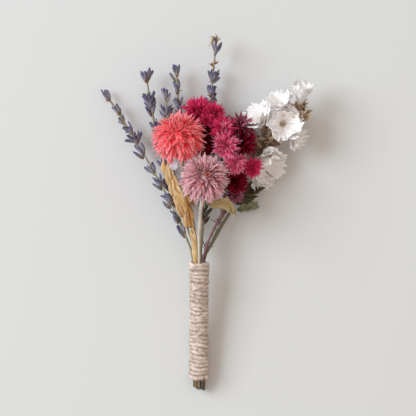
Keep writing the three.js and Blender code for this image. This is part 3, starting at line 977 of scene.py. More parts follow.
@dataclass
class Piece:
    """Something visible that stands for a node of the frame."""

    node: str
    cad: CadPiece = field(init=False)
    chance: random.Random = field(init=False)

    def __post_init__(self) -> None:
        """Reads the node and seeds the piece's own random numbers from its name."""
        self.cad = CadPiece(self.node)
        self.chance = random.Random(self.node)

    def build(self) -> None:
        """Makes the piece's meshes and dresses them."""
        raise NotImplementedError

    def near(self, spread: float) -> float:
        """Returns a random number between -spread and spread."""
        return self.chance.uniform(-spread, spread)

    def stray(self, x: float, y: float, z: float) -> Array:
        """Returns a random vector, each part of it near 0 within its own spread."""
        return vec(self.near(x), self.near(y), self.near(z))

    def uneven_foot(self, path: Array) -> None:
        """Cuts a stem a little longer or shorter than its neighbours, and splays it."""
        path[0] = path[0] + vec(self.near(0.45), self.chance.uniform(-1.5, 1.0), self.near(0.2)) * MM

    def show(self, shape: Shape, finish: Finish, suffix: str = "") -> bpy.types.Object:
        """Builds a shape and dresses it, under the node's name with a suffix added to it."""
        shape.rest_on(SHAPE_GAP)
        return self.dress(shape.build(f"dressed_{self.node}{suffix}"), finish)

    def dress(self, thing: bpy.types.Object, finish: Finish) -> bpy.types.Object:
        """Gives an object its finish and body, and hides the node that it stands for.

        Args:
            thing: the object.
            finish: its finish.

        Returns:
            The same object.
        """
        thing.data.materials.clear()
        thing.data.materials.append(Finishes.material(finish))
        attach(thing, ROOT)
        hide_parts(self.node)
        LOG.info("%s: %d faces, %s", thing.name, len(thing.data.polygons), finish.name)
        return thing


@dataclass
class TwineWrap(Piece):
    """The handle's binding: one jute twine of three plies, wound round the stems.

    pitch is the distance from turn to turn, lay the length in which a ply goes once round the
    others, and flatten how flat the twine is pressed. It stands end_gap in from both ends of its
    node. hairs is how many loose fibres there are, and crossings how many steep short turns lie
    over the others.
    """

    pitch: float = 1.9 * MM
    plies: int = 3
    ply_radius: float = 0.47 * MM
    lay: float = 3.0 * MM
    flatten: float = 0.6
    end_gap: float = 0.8 * MM
    turn_steps: int = 64
    hairs: int = 9000
    crossings: int = 10
    middle: Array = field(init=False)
    axis: Array = field(init=False)
    side: Array = field(init=False)
    over: Array = field(init=False)
    low: float = field(init=False)
    high: float = field(init=False)
    places: Array = field(init=False)
    outer: Array = field(init=False)

    def __post_init__(self) -> None:
        """Reads the handle's axis, and its radius at places along it."""
        super().__post_init__()
        corners = self.cad.corners
        self.middle = corners.mean(axis=0)
        _, _, axes = np.linalg.svd(corners - self.middle)
        self.axis = axes[0] * np.sign(axes[0][1])
        self.side = square_to(self.axis, vec(1, 0, 0))
        self.over = np.cross(self.side, self.axis)
        run = (corners - self.middle) @ self.axis
        self.low, self.high = run.min(), run.max()
        reach = np.linalg.norm(corners - self.middle - np.outer(run, self.axis), axis=1)
        bins = np.linspace(self.low, self.high, 15)
        self.places = (bins[:-1] + bins[1:]) / 2
        self.outer = np.array([reach[(run >= a - MM) & (run <= b + MM)].max()
                               for a, b in zip(bins[:-1], bins[1:])])

    def build(self) -> None:
        """Winds the plies, lays a few crossing turns and scatters the loose fibres."""
        turns = (self.high - self.low - 2 * self.end_gap) / self.pitch
        turn = np.linspace(0, turns * 2 * math.pi, int(turns * self.turn_steps))
        wander = self._waves(turn, 0.3, (0.37, 0.61, 0.93, 1.31, 2.07))
        along = self.low + self.end_gap + (turn / (2 * math.pi)) * self.pitch + wander * MM
        bulge = self._waves(turn, 0.12, (0.53, 1.0, 1.7, 2.9))
        path, ring = self._wound(turn, along, (np.abs(bulge) - 0.62) * MM)
        shape = Shape()
        self._strand(shape, path, ring, self.ply_radius)
        # the bed under the turns has tone 0.8, which the twine finish darkens: painted shade between
        # the turns
        bed = np.linspace(self.low + MM, self.high - MM, 60)
        shape.tube(self.middle + np.outer(bed, self.axis),
                   np.interp(bed, self.places, self.outer) - 0.95 * MM, 32, 0.8, self.side)
        for _ in range(self.crossings):
            self._crossing(shape)
        self.show(shape, Finishes.TWINE)
        self.show(self._fibres(path, ring), Finishes.TWINE, "_fibres")

    def _waves(self, turn: Array, size: float, paces: Sequence[float]) -> Array:
        """Returns a sum of random waves of up to size each, one for each pace."""
        return sum(self.near(size) * np.sin(turn * pace + self.near(3)) for pace in paces)

    def _wound(self, turn: Array, along: Array, lift: Array | float) -> tuple[Array, Array]:
        """Winds a line round the handle.

        Args:
            turn: the angle at each point.
            along: how far along the handle each point is.
            lift: how far each point stands out from the wrap's surface.

        Returns:
            The line and the outward direction at each of its points.
        """
        radius = np.interp(along, self.places, self.outer) + lift
        ring = np.cos(turn)[:, None] * self.side + np.sin(turn)[:, None] * self.over
        path = self.middle + along[:, None] * self.axis + radius[:, None] * ring
        keep_above(path, 0.55 * MM)
        return path, ring

    def _strand(self, shape: Shape, path: Array, ring: Array, thick: float) -> None:
        """Lays the plies of the twine along a line, twisted round each other.

        Args:
            shape: what they are added to.
            path: the line.
            ring: the outward direction at each of its points.
            thick: the radius of a ply.
        """
        length = run_along(path)
        for k in range(self.plies):
            phase = 2 * math.pi * (length / self.lay + k / self.plies)
            out = (np.cos(phase) * self.flatten)[:, None] * ring
            aside = np.sin(phase)[:, None] * self.axis
            ply = path + (out + aside) * thick * 1.15
            keep_above(ply, 0.28 * MM)
            uneven = (1 + 0.14 * np.sin(length / (1.3 * MM) + k)
                      + 0.1 * np.sin(length / (4.1 * MM) + 2 * k))
            shape.tube(ply, thick * uneven, 8, k / self.plies, self.axis)

    def _crossing(self, shape: Shape) -> None:
        """Lays one short steep turn over the others, its ends tucked under them.

        Args:
            shape: what it is added to.
        """
        steps = 60
        start = self.chance.uniform(0, 2 * math.pi)
        sweep = self.chance.uniform(1.6, 3.2)
        turn = np.linspace(start, start + sweep, steps)
        climb = self.chance.choice((-1, 1)) * self.chance.uniform(2.5, 6) * MM
        first = self.chance.uniform(self.low + 8 * MM, self.high - 8 * MM)
        tuck = np.sin(np.linspace(0, math.pi, steps)) ** 0.4
        along = first + climb * np.linspace(0, 1, steps)
        path, ring = self._wound(turn, along, (tuck * 0.75 - 0.85) * MM)
        self._strand(shape, path, ring, self.ply_radius * 0.8)

    def _fibres(self, path: Array, ring: Array) -> Shape:
        """Scatters loose fibres over the wrap.

        Args:
            path: the twine's centre line.
            ring: the outward direction at each of its points.

        Returns:
            The fibres as one shape.
        """
        shape = Shape()
        t = np.linspace(0, 1, 6)[:, None]
        for _ in range(self.hairs):
            i = self.chance.randrange(2, len(path) - 12)
            ahead = unit(path[i + 6] - path[i])
            lean = unit(ahead * self.chance.choice((-1, 1)) + self.axis * self.near(0.9)
                        + ring[i] * self.chance.uniform(0, 0.35))
            long = self.chance.uniform(0.6, 2.2) * MM
            start = path[i] + ring[i] * 0.6 * MM + self.axis * self.near(1.0) * MM
            bend = self.axis * self.near(0.5) - ring[i] * self.chance.uniform(0.2, 0.6)
            hair = start + lean * long * t + bend * long * t**2
            keep_above(hair, SHEET_GAP)
            radii = np.linspace(0.1, 0.035, 6) * self.chance.uniform(0.6, 1.3) * MM
            shape.tube(hair, radii, 3, self.chance.random(), self.axis)
        return shape


@dataclass
class PlainStem(Piece):
    """A single bare stem, slightly ribbed, with a cut end.

    ribs is how many ribs it has, rib_depth how deep they are as a share of its radius, and widest
    the radius past which its node is more than bare stem.
    """

    finish: StemFinish = Finishes.PALE_STEM
    ribs: int = 6
    rib_depth: float = 0.07
    widest: float = 2.2 * MM

    def build(self) -> None:
        """Runs the stem along the middle of its node."""
        middles, radii = self.cad.spine(widest=self.widest)
        count = max(30, len(middles) * 4)
        path = smooth_path(middles, count)
        wave = np.linspace(0, 1, count)
        radius = np.interp(wave, np.linspace(0, 1, len(radii)), radii)
        path = path + np.outer(np.sin(wave * 43 + self.near(3)), vec(0.05, 0, 0.04)) * MM
        self.uneven_foot(path)
        radius = radius * (1 + 0.05 * np.sin(wave * 31 + self.near(3)))
        shape = Shape()
        phase = self.near(3)
        shape.tube(path, radius, 18, self.chance.random(), vec(1, 0, 0),
                   lambda a, t: 1 + self.rib_depth * np.cos(self.ribs * a + phase), twist=1.4)
        self.show(shape, self.finish)


@dataclass
class StrawStalk(PlainStem):
    """The straw stalk, wrapped in narrow sheaths that overlap like plaited straw.

    bare is the share of its length, from the cut end, that has no sheaths.
    """

    finish: StemFinish = Finishes.STRAW_STEM
    sheaths: int = 9
    bare: float = 0.8

    def build(self) -> None:
        """Runs the stalk and lays the sheaths round its upper end."""
        super().build()
        middles, _ = self.cad.spine(widest=self.widest)
        steps = 100
        path = smooth_path(middles, steps)
        shape = Shape()
        for k in range(self.sheaths):
            i = int(steps * (self.bare + (0.96 - self.bare) * k / self.sheaths))
            way = unit(path[min(i + 3, steps - 1)] - path[i - 3])
            swing = -1 if k % 2 else 1
            head = unit(way + vec(swing * 0.14 - 0.08, 0, self.chance.uniform(0, 0.16)))
            blade = Blade(self.chance.uniform(7.0, 9.5) * MM, 3.0 * MM, keel=0.9 * MM, curl=0.05,
                          waist=0.7, belly=0.4, thick=0.14 * MM, rows=14, cols=9)
            side = unit(vec(swing * 0.7, 0, 1))
            base = path[i] + side * 0.45 * MM
            shape.sheet(blade.grid(base, head, -side), blade.thick, self.chance.random())
        self.show(shape, Finishes.STRAW, "_sheaths")


@dataclass
class BranchedStem(Piece):
    """A stem that forks, taken from its node, rounded and roughened.

    voxel is the grain that it is rounded at. stubs is how many knots of broken twigs stand on its
    bare length, and twigs how many there are in each. tufted is whether dry calyces stand on it,
    and calyces how many there are in each tuft. slimming is how many millimetres it narrows by
    between the wrap and its fork.
    """

    finish: StemFinish = Finishes.MAUVE_STEM
    voxel: float = 0.17 * MM
    stubs: int = 0
    twigs: int = 9
    tufted: bool = False
    calyces: int = 5
    slimming: float = 0.42

    def build(self) -> None:
        """Rounds a copy of the node into a grown shape."""
        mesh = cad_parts[self.node].data.copy()
        thing = bpy.data.objects.new(f"dressed_{self.node}", mesh)
        bpy.context.scene.collection.objects.link(thing)
        remesh = thing.modifiers.new("grown", "REMESH")
        remesh.mode = "VOXEL"
        remesh.voxel_size = self.voxel
        smooth = thing.modifiers.new("rounded", "SMOOTH")
        smooth.iterations = 12
        smooth.factor = 0.6
        thing.data = self._applied(thing)
        thing.modifiers.clear()
        self._roughen(thing.data)
        thing.data.polygons.foreach_set("use_smooth", [True] * len(thing.data.polygons))
        if self.stubs:
            self._stubs()
        if self.tufted:
            self._tufts()
        self.dress(thing, self.finish)

    @staticmethod
    def _applied(thing: bpy.types.Object) -> bpy.types.Mesh:
        """Returns the object's mesh with its modifiers applied."""
        graph = bpy.context.evaluated_depsgraph_get()
        return bpy.data.meshes.new_from_object(thing.evaluated_get(graph))

    def _roughen(self, mesh: bpy.types.Mesh) -> None:
        """Swells the stem back to its size and ribs it along its length.

        Args:
            mesh: the rounded stem's mesh.
        """
        count = len(mesh.vertices)
        points = np.zeros(count * 3)
        normals = np.zeros(count * 3)
        mesh.vertices.foreach_get("co", points)
        mesh.vertices.foreach_get("normal", normals)
        points, normals = points.reshape(-1, 3), normals.reshape(-1, 3)
        x, y, z = (points / MM).T
        wave = (np.sin(x * 4.1 + y * 0.35) * np.sin(z * 3.7 - y * 0.28)
                + 0.5 * np.sin(y * 1.7 + x * 0.8))
        slim = np.interp(y - WRAP_MOUTH / MM, [0, 7, 18, 26], [0, 1, 1, 0]) * self.slimming
        points = points + normals * (0.14 + 0.1 * wave - slim)[:, None] * MM
        keep_above(points, 0)
        mesh.vertices.foreach_set("co", points.reshape(-1))
        mesh.update()

    def _stubs(self) -> None:
        """Adds knobbly nodes with short broken twigs on the bare length."""
        middles, _ = self.cad.spine(widest=1.5 * MM)
        free = middles[middles[:, 1] > WRAP_MOUTH + 1.5 * MM]
        t = np.linspace(0, 1, 8)
        shape = Shape()
        for k in range(self.stubs):
            at = free[int((k + 0.6) * len(free) / self.stubs) % len(free)]
            for _ in range(self.twigs):
                away = unit(vec(self.near(1), self.chance.uniform(-0.2, 1.4), self.near(1)))
                long = self.chance.uniform(1.6, 5.0) * MM
                at = at + vec(0, self.near(0.5), 0) * MM
                bend = self.stray(0.5, 0.5, 0.5) * long
                path = at + np.outer(t, away) * long + np.outer(t * (1 - t), bend)
                radii = np.linspace(0.5, 0.12, len(t)) * self.chance.uniform(0.5, 1.1) * MM
                shape.tube(path, radii, 9, self.chance.random(), vec(0, 0, 1))
        self.show(shape, self.finish, "_stubs")

    def _tufts(self) -> None:
        """Adds the ribbed empty calyces that stand where the node's own tufts are."""
        t = np.linspace(0, 1, 12)
        radii = np.interp(t, [0, 0.15, 0.45, 0.75, 1], [0.25, 0.4, 0.6, 0.55, 0.08]) * MM
        shape = Shape()
        for tip, way in self.cad.tips(sharp=0.6):
            for _ in range(self.calyces):
                head = unit(way + self.stray(0.55, 0.55, 0.5))
                long = self.chance.uniform(5.6, 8.6) * MM
                base = tip - way * 4.4 * MM
                path = base + np.outer(t, head) * long
                phase = self.near(3)
                shape.tube(path, radii * self.chance.uniform(0.7, 1.15), 20, self.chance.random(),
                           vec(0.2, 0.1, 1), lambda a, s: 1 + 0.28 * np.cos(5 * a + phase),
                           twist=self.near(0.8))
        self.show(shape, Finishes.DRY_CALYX, "_tufts")


@dataclass
class LavenderSprig(Piece):
    """A sprig of lavender: a square stem with whorls of ribbed calyces.

    bud_radius is that of a calyx, and bloom_chance how likely it is to hold a withered bloom.
    extra is how many more calyces stand beside each one of the node, slim the stem's width as a
    share of the node's beyond the wrap, and crown whether dry straw bracts stand at its tip.
    """

    finish: BladeFinish = Finishes.CALYX
    bud_radius: float = 0.74 * MM
    bloom_chance: float = 0.3
    extra: float = 1.1
    slim: float = 0.72
    crown: bool = False

    def build(self) -> None:
        """Grows the stem, the calyces, their withered blooms and the little bracts."""
        middles, radii = self.cad.spine()
        buds = self._buds(middles)
        top = max((base for base, _ in buds), key=lambda p: p[1])
        if top[1] > middles[-1][1]:
            middles = np.vstack([middles, top])
            radii = np.append(radii, radii[-1])
        path = self._stem(middles, radii)

        calyces, blooms, bracts, straws = Shape(), Shape(), Shape(), Shape()
        for base, tip in buds:
            if self.crown and tip[1] > top[1] + 2 * MM:
                self._crown(straws, calyces, base, tip)
                continue
            self._calyx(calyces, blooms, base, tip)
            for _ in range(int(self.extra + self.chance.random())):
                swing = unit(tip - base) + unit(self.stray(1, 0.5, 1)) * 0.42
                reach = np.linalg.norm(tip - base) * self.chance.uniform(0.7, 1.0)
                start = base + vec(self.near(0.5), self.chance.uniform(-2.2, 1.2), 0) * MM
                end = start + unit(swing) * reach
                keep_above(end, 1.1 * MM)
                self._calyx(calyces, blooms, start, end)
            for _ in range(self.chance.choice((0, 1, 2, 3))):
                self._bract(bracts, base, unit(tip - base))
        if self.crown:
            self._dry_node(bracts, path, [base for base, _ in buds])
        self.show(calyces, self.finish)
        self.show(blooms, Finishes.COROLLA, "_blooms")
        if bracts.count:
            self.show(bracts, Finishes.RUST, "_bracts")
        if straws.count:
            self.show(straws, Finishes.STRAW_BRACT, "_crown")

    def _stem(self, middles: Array, radii: Array) -> Array:
        """Grows the square stem.

        Args:
            middles: points along its centre line.
            radii: the node's radius at each of them.

        Returns:
            The finished centre line.
        """
        steps = 160
        path = smooth_path(middles, steps)
        self.uneven_foot(path)
        radius = np.interp(np.linspace(0, 1, steps), np.linspace(0, 1, len(radii)), radii)
        radius = radius * np.interp(path[:, 1] - WRAP_MOUTH, [-2 * MM, 8 * MM], [0.95, self.slim])
        stem = Shape()
        stem.tube(path, radius, 12, 0.5, vec(1, 0, 0), lambda a, t: 1 + 0.12 * np.cos(4 * a), 2.0)
        self.show(stem, Finishes.LAVENDER_STEM, "_stem")
        return path

    def _buds(self, middles: Array) -> list[tuple[Array, Array]]:
        """Finds where each calyx springs from the stem and where it ends.

        Args:
            middles: the stem's centre line.

        Returns:
            The base and the tip of each calyx.
        """
        line = smooth_path(middles, 400)
        buds = []
        for tip, way in self.cad.tips():
            gap = line - tip
            behind = gap @ -way
            aside = np.linalg.norm(gap + np.outer(behind, way), axis=1)
            cost = aside + np.where((behind > 2 * MM) & (behind < 7.5 * MM), 0, 1)
            best = int(np.argmin(cost))
            if cost[best] < 1.6 * MM:
                buds.append((line[best], tip))
            elif tip[1] > middles[-1][1]:
                buds.append((tip - way * 5.2 * MM, tip))
        return buds

    def _calyx(self, calyces: Shape, blooms: Shape, base: Array, tip: Array) -> None:
        """Adds one calyx, and at times the withered bloom in its mouth.

        Args:
            calyces: what the calyx is added to.
            blooms: what the bloom is added to.
            base: where the calyx springs from the stem.
            tip: where it ends.
        """
        way = tip - base
        length = float(np.linalg.norm(way))
        way = unit(way)
        bend = square_to(way, self.stray(1, 1, 1)) * self.near(0.1) * length
        t = np.linspace(0, 1, 11)
        path = base + np.outer(t, way) * length + np.outer(t * (1 - t) * 4, bend)
        profile = np.interp(t, [0, 0.1, 0.3, 0.55, 0.85, 1], [0.35, 0.62, 0.92, 1, 0.82, 0.42])
        radii = profile * self.bud_radius * self.chance.uniform(0.8, 1.08)
        phase = self.near(3)
        ribs = self.chance.choice((6, 7))
        calyces.tube(path, radii, 24, self.chance.random(), vec(0.3, 0.2, 0.9),
                     lambda a, s: 1 + 0.13 * np.cos(ribs * a + phase) * min(1, 3 * s),
                     twist=self.near(0.5))
        if self.chance.random() < self.bloom_chance:
            size = radii[-1] * self.chance.uniform(0.9, 1.3)
            out = unit(way + self.stray(0.4, 0.4, 0.4))
            bloom = path[-1] - way * 0.4 * MM + np.outer(np.linspace(0, 1.4 * MM, 6), out)
            swell = size * np.array([0.8, 1.1, 1.2, 1.0, 0.7, 0.25])
            blooms.tube(bloom, swell, 10, self.chance.random(), vec(1, 0, 0),
                        lambda a, s: 1 + 0.22 * np.sin(3 * a + phase + 5 * s))

    def _bract(self, bracts: Shape, base: Array, way: Array) -> None:
        """Adds one small dry bract under a calyx.

        Args:
            bracts: what it is added to.
            base: where it springs from.
            way: where the calyx points.
        """
        side = square_to(way, self.stray(1, 1, 1))
        head = unit(way * self.chance.uniform(0.2, 0.8) + side)
        length = self.chance.uniform(1.8, 3.2) * MM
        blade = Blade(length, 1.2 * MM, keel=0.25 * MM, curl=self.near(0.3))
        grid = blade.grid(base, head, way)
        keep_above(grid, SHEET_GAP)
        bracts.sheet(grid, blade.thick, self.chance.random())

    def _dry_node(self, bracts: Shape, path: Array, bases: Sequence[Array]) -> None:
        """Adds a knot of dry bracts part way up the widest gap between the whorls.

        Args:
            bracts: what they are added to.
            path: the stem's centre line.
            bases: where the calyces spring from it.
        """
        heights = sorted(base[1] for base in bases)
        low, high = max(zip(heights[:-1], heights[1:]), key=lambda pair: pair[1] - pair[0])
        at = path[int(np.argmin(np.abs(path[:, 1] - (low + 0.35 * (high - low)))))]
        for _ in range(9):
            side = unit(vec(self.near(1), self.chance.uniform(-0.2, 1), self.near(1)))
            self._bract(bracts, at + vec(0, self.near(1.2), 0) * MM, side)

    def _crown(self, straws: Shape, calyces: Shape, base: Array, tip: Array) -> None:
        """Adds the dry bracts at the sprig's tip, with one slim calyx among them.

        Args:
            straws: what the bracts are added to.
            calyces: what the calyx is added to.
            base: where the calyx springs from the stem.
            tip: where it ends.
        """
        way = unit(tip - base)
        for _ in range(5):
            side = square_to(way, self.stray(1, 1, 0.6))
            head = unit(way * self.chance.uniform(0.5, 1.4) + side)
            length = self.chance.uniform(2.6, 4.2) * MM
            blade = Blade(length, 1.3 * MM, keel=0.3 * MM, curl=self.near(0.5))
            root = base + way * self.chance.uniform(0.3, 0.8) * np.linalg.norm(tip - base)
            straws.sheet(blade.grid(root, head, way), blade.thick, self.chance.random())
        t = np.linspace(0, 1, 8)
        path = base + np.outer(t, tip - base) * 0.8
        radii = np.interp(t, [0, 0.2, 0.8, 1], [0.3, 0.6, 0.7, 0.4]) * self.bud_radius
        calyces.tube(path, radii, 16, self.chance.random(), vec(1, 0, 0))


@dataclass
class Head(Piece):
    """A flower head at the end of a stem, which is the node that it faces away from."""

    stem: str
    centre: Array = field(init=False)
    radius: float = field(init=False)
    faces: Array = field(init=False)
    side: Array = field(init=False)
    over: Array = field(init=False)

    def __post_init__(self) -> None:
        """Works out where the head is, how far its widest side reaches and where it faces."""
        super().__post_init__()
        self.centre = self.cad.centre
        self.radius = float(self.cad.size.max() / 2)
        self.faces = unit(self.centre - CadPiece(self.stem).nearest_corner(self.centre))
        self.side = square_to(self.faces, vec(1, 0, 0))
        self.over = np.cross(self.faces, self.side)

    def toward(self, tilt: float, turn: float) -> Array:
        """Returns the direction tilted so far, in radians, from the head's own and turned round it."""
        flat = self.side * math.cos(turn) + self.over * math.sin(turn)
        return self.faces * math.cos(tilt) + flat * math.sin(tilt)


@dataclass
class GlobeHead(Head):
    """A globe amaranth: a ball of stiff keeled bracts in spirals.

    sweep is how far the bracts lean away from the crown, ripple how wavy they are, and ragged how
    unevenly they end, as a share of the radius. lowest is how far down from the crown they grow,
    in radians. fullness is the ball's radius as a share of the node's, settle how far it sits
    back towards its stem, and core the radius of its solid middle, as shares of that radius.
    """

    finish: BladeFinish = Finishes.CORAL
    bracts: int = 640
    bract_length: float = 7.6 * MM
    bract_width: float = 2.0 * MM
    keel: float = 0.35 * MM
    sweep: float = 0.7
    curl: float = 0.25
    ripple: float = 0.4 * MM
    lowest: float = 2.5
    ragged: float = 0.17
    fullness: float = 0.93
    settle: float = 0.1
    core: float = 0.7

    def __post_init__(self) -> None:
        """Sizes the ball and sets it back."""
        super().__post_init__()
        self.radius = self.radius * self.fullness
        self.centre = self.centre - self.faces * self.radius * self.settle

    def build(self) -> None:
        """Sets the bracts in order from the crown down."""
        core = Shape()
        height = np.linspace(-1, 1, 15)
        poles = self.centre + np.outer(height * self.core, self.faces) * self.radius
        swell = np.sqrt(np.maximum(1 - height**2, 0.0004)) * self.core * self.radius
        # tone 0.1 keeps the core a little darker than the average bract: painted shade in the gaps
        # between the bracts
        core.tube(poles, swell, 24, 0.1, self.side)
        self.show(core, self.finish, "_core")
        shape = Shape()
        for k in range(self.bracts):
            share = (k + 0.5) / self.bracts
            tilt = math.acos(1 - share * (1 - math.cos(self.lowest)))
            out = self.toward(tilt, k * GOLDEN_ANGLE + self.near(0.2))
            self._bract(shape, out, share)
        self.show(shape, self.finish)

    def _bract(self, shape: Shape, out: Array, share: float) -> None:
        """Adds one bract, swept away from the crown.

        Args:
            shape: what it is added to.
            out: where it leaves the ball.
            share: its place in the order from the crown down, from 0 to 1.
        """
        tangent = square_to(out, self.faces) if share > 0.004 else self.side
        length = self.bract_length * self.chance.uniform(0.8, 1.12)
        lean = self.sweep * self.chance.uniform(0.5, 1.3) * min(1.0, 0.25 + 2.2 * share)
        head = unit(out - tangent * lean + self.stray(0.25, 0.25, 0.25))
        tip = self.centre + out * self.radius * (1.04 + self.near(self.ragged))
        base = tip - head * length
        blade = Blade(length, self.bract_width * self.chance.uniform(0.75, 1.15), keel=self.keel,
                      curl=self.curl * self.chance.uniform(-0.4, 1.8), waist=0.5, belly=0.55,
                      rows=10)
        upper = tangent + out * 0.3
        wave = (np.sin(np.linspace(0, 10, blade.rows) + self.near(3))[:, None]
                * np.linspace(-1, 1, blade.cols) ** 2)
        grid = blade.grid(base, head, upper) + (wave * self.ripple)[..., None] * out
        shape.sheet(grid, blade.thick, self.chance.random())


@dataclass
class PinkGlobe(GlobeHead):
    """The dusty pink globe amaranth, with loose bracts at its foot and orange flecks.

    skirt is how many loose bracts there are, and flecks how many flecks.
    """

    skirt: int = 30
    flecks: int = 12

    def build(self) -> None:
        """Sets the bracts, the skirt and the flecks."""
        super().build()
        loose = Shape()
        for k in range(self.skirt):
            turn = 2 * math.pi * (k + self.near(0.4)) / self.skirt
            out = self.toward(1.95 + self.near(0.25), turn)
            head = unit(out + self.faces * -0.2 + self.stray(0.2, 0.2, 0.2))
            base = self.centre + out * self.radius * 0.6
            blade = Blade(self.chance.uniform(4.8, 6.4) * MM, self.chance.uniform(2.2, 3.2) * MM,
                          keel=0.5 * MM, curl=self.near(0.3), waist=0.6, belly=0.55)
            loose.sheet(blade.grid(base, head, self.faces), blade.thick, self.chance.random())
        self.show(loose, Finishes.PINK_SKIRT, "_skirt")
        dots = Shape()
        swell = np.array([0.3, 0.5, 0.5, 0.4, 0.15]) * MM
        for _ in range(self.flecks):
            out = self.toward(self.chance.uniform(0.2, 0.9), self.chance.uniform(-2.2, -0.6))
            root = self.centre + out * self.radius * 0.8
            path = root + np.outer(np.linspace(0, 2.2 * MM, len(swell)), unit(out + self.faces * 0.2))
            dots.tube(path, swell, 8, self.chance.random(), self.side)
        self.show(dots, Finishes.PINK_FLECK, "_flecks")


class Eye(Enum):
    """What the middle of an everlasting looks like."""

    CLOSED = "petals folded over it"
    PALE = "short pale petals"
    RUST = "an open rust-brown disc"


@dataclass
class Everlasting(Head):
    """A crimson everlasting: rings of narrow pointed papery petals.

    fullness is how far the petals reach, and width how wide they are, as shares of the node's
    own radius and of that reach. A ring has about per_ring petals, and heart is the share of the
    rings that make the head's heart. The rings tilt from the first to the second angle, in
    radians, of closed_tilt, or of open_tilt round an open disc of florets.
    """

    finish: BladeFinish = Finishes.CRIMSON
    eye: Eye = Eye.CLOSED
    rings: int = 7
    per_ring: int = 24
    fullness: float = 1.5
    width: float = 0.2
    heart: float = 0.3
    closed_tilt: tuple[float, float] = (0.12, 1.74)
    open_tilt: tuple[float, float] = (0.62, 1.57)
    florets: int = 80

    def build(self) -> None:
        """Sets the rings of petals from the middle out."""
        radius = self.radius * self.fullness
        foot = self.centre - self.faces * radius * 0.4
        first, last = self.open_tilt if self.eye is Eye.RUST else self.closed_tilt
        inner, outer = Shape(), Shape()
        for ring in range(self.rings):
            share = ring / (self.rings - 1)
            tilt = first + (last - first) * share
            number = int(self.per_ring * (0.55 + 0.6 * share))
            for k in range(number):
                turn = 2 * math.pi * (k + 0.5 * (ring % 2) + self.near(0.35)) / number
                way = self.toward(tilt + self.near(0.16), turn)
                length = radius * (0.66 + 0.3 * share) * self.chance.uniform(0.72, 1.18)
                blade = Blade(length, radius * self.width * self.chance.uniform(0.6, 1.2),
                              keel=radius * 0.05, curl=self.near(0.3) - 0.04, waist=0.35, point=1.25)
                home = inner if share < self.heart else outer
                home.sheet(blade.grid(foot + way * radius * 0.12, way, self.faces), blade.thick,
                           self.chance.random())
        self.show(outer, self.finish)
        if self.eye is Eye.RUST:
            self._disc(foot, radius)
        hearts = {Eye.RUST: Finishes.CRIMSON_DARK, Eye.PALE: Finishes.CRIMSON_PALE}
        self.show(inner, hearts.get(self.eye, self.finish), "_heart")

    def _disc(self, foot: Array, radius: float) -> None:
        """Adds the disc of tiny rust-brown florets.

        Args:
            foot: the point that the petals spring from.
            radius: how far the petals reach.
        """
        shape = Shape()
        swell = np.array([0.2, 0.3, 0.32, 0.26, 0.1]) * MM
        for k in range(self.florets):
            out = self.toward(0.8 * math.sqrt((k + 0.5) / self.florets), k * GOLDEN_ANGLE)
            start = foot + out * radius * 0.25
            path = start + np.outer(np.linspace(0, 1, len(swell)), out) * radius * 0.26
            shape.tube(path, swell, 6, self.chance.random(), self.side)
        self.show(shape, Finishes.HEART, "_disc")


@dataclass
class Statice(Head):
    """A statice flower: a papery funnel, crumpled and ruffled at its rim.

    spread is how far the rim reaches, as a share of the node's own radius, and depth how deep the
    funnel is, as a share of that reach. layers is how many funnels sit in one another, each of
    them shrink smaller, and lobes how many lobes a rim has. crimp is how strongly the rim is
    folded, and lean how many millimetres the flower hangs to the right and up.
    """

    finish: BladeFinish = Finishes.WHITE
    spread: float = 1.45
    layers: int = 3
    shrink: float = 0.12
    lobes: int = 5
    depth: float = 1.0
    crimp: float = 1.0
    lean: tuple[float, float] = (0.0, 0.0)

    def build(self) -> None:
        """Rolls the funnels, one inside the other."""
        shape = Shape()
        self.centre = self.centre + vec(*self.lean, 0) * MM
        for layer in range(self.layers):
            tilt = self.stray(0.3, 0.3, 0.3) * layer
            radius = self.radius * self.spread * (1 - self.shrink * layer)
            self._funnel(shape, unit(self.faces + tilt), radius, layer)
        self.show(shape, self.finish)

    def _funnel(self, shape: Shape, axis: Array, radius: float, layer: int) -> None:
        """Adds one funnel.

        Args:
            shape: what it is added to.
            axis: where it opens.
            radius: its reach at the rim.
            layer: 0 for the outermost.
        """
        rows, cols = 22, 145
        side = square_to(axis, vec(1, 0, 0))
        over = np.cross(axis, side)
        s = np.linspace(0, 1, rows)[:, None]
        a = np.linspace(0, 2 * math.pi, cols)[None, :]
        start = self.near(3)
        lobe = 0.5 + 0.5 * np.cos(self.lobes * a + start)
        fold = self.crimp * sum(self.near(0.5) * np.sin(n * a + self.near(3))
                                for n in (6, 9, 13, 17, 23, 29))
        reach = 0.14 + 0.86 * s**1.25 * (0.86 + 0.16 * lobe**0.6)
        rise = self.depth * (-0.62 + 0.95 * s**0.8) + 0.22 * s**3 * (0.5 - lobe)
        ruffle = s**1.8 * fold * 0.17
        wave = 0.06 * s * np.sin(6 * s + 3 * a + start)
        swing = a + 0.07 * s * fold
        wide = reach * (1 + 0.07 * s * fold)
        grid = (self.centre + (rise + ruffle + wave)[..., None] * radius * axis
                + (wide * np.cos(swing))[..., None] * radius * side
                + (wide * np.sin(swing))[..., None] * radius * over)
        grid[:, -1] = grid[:, 0]
        keep_above(grid, SHEET_GAP)
        shape.sheet(grid, 0.08 * MM, 0.4 + 0.3 * layer + self.near(0.2))


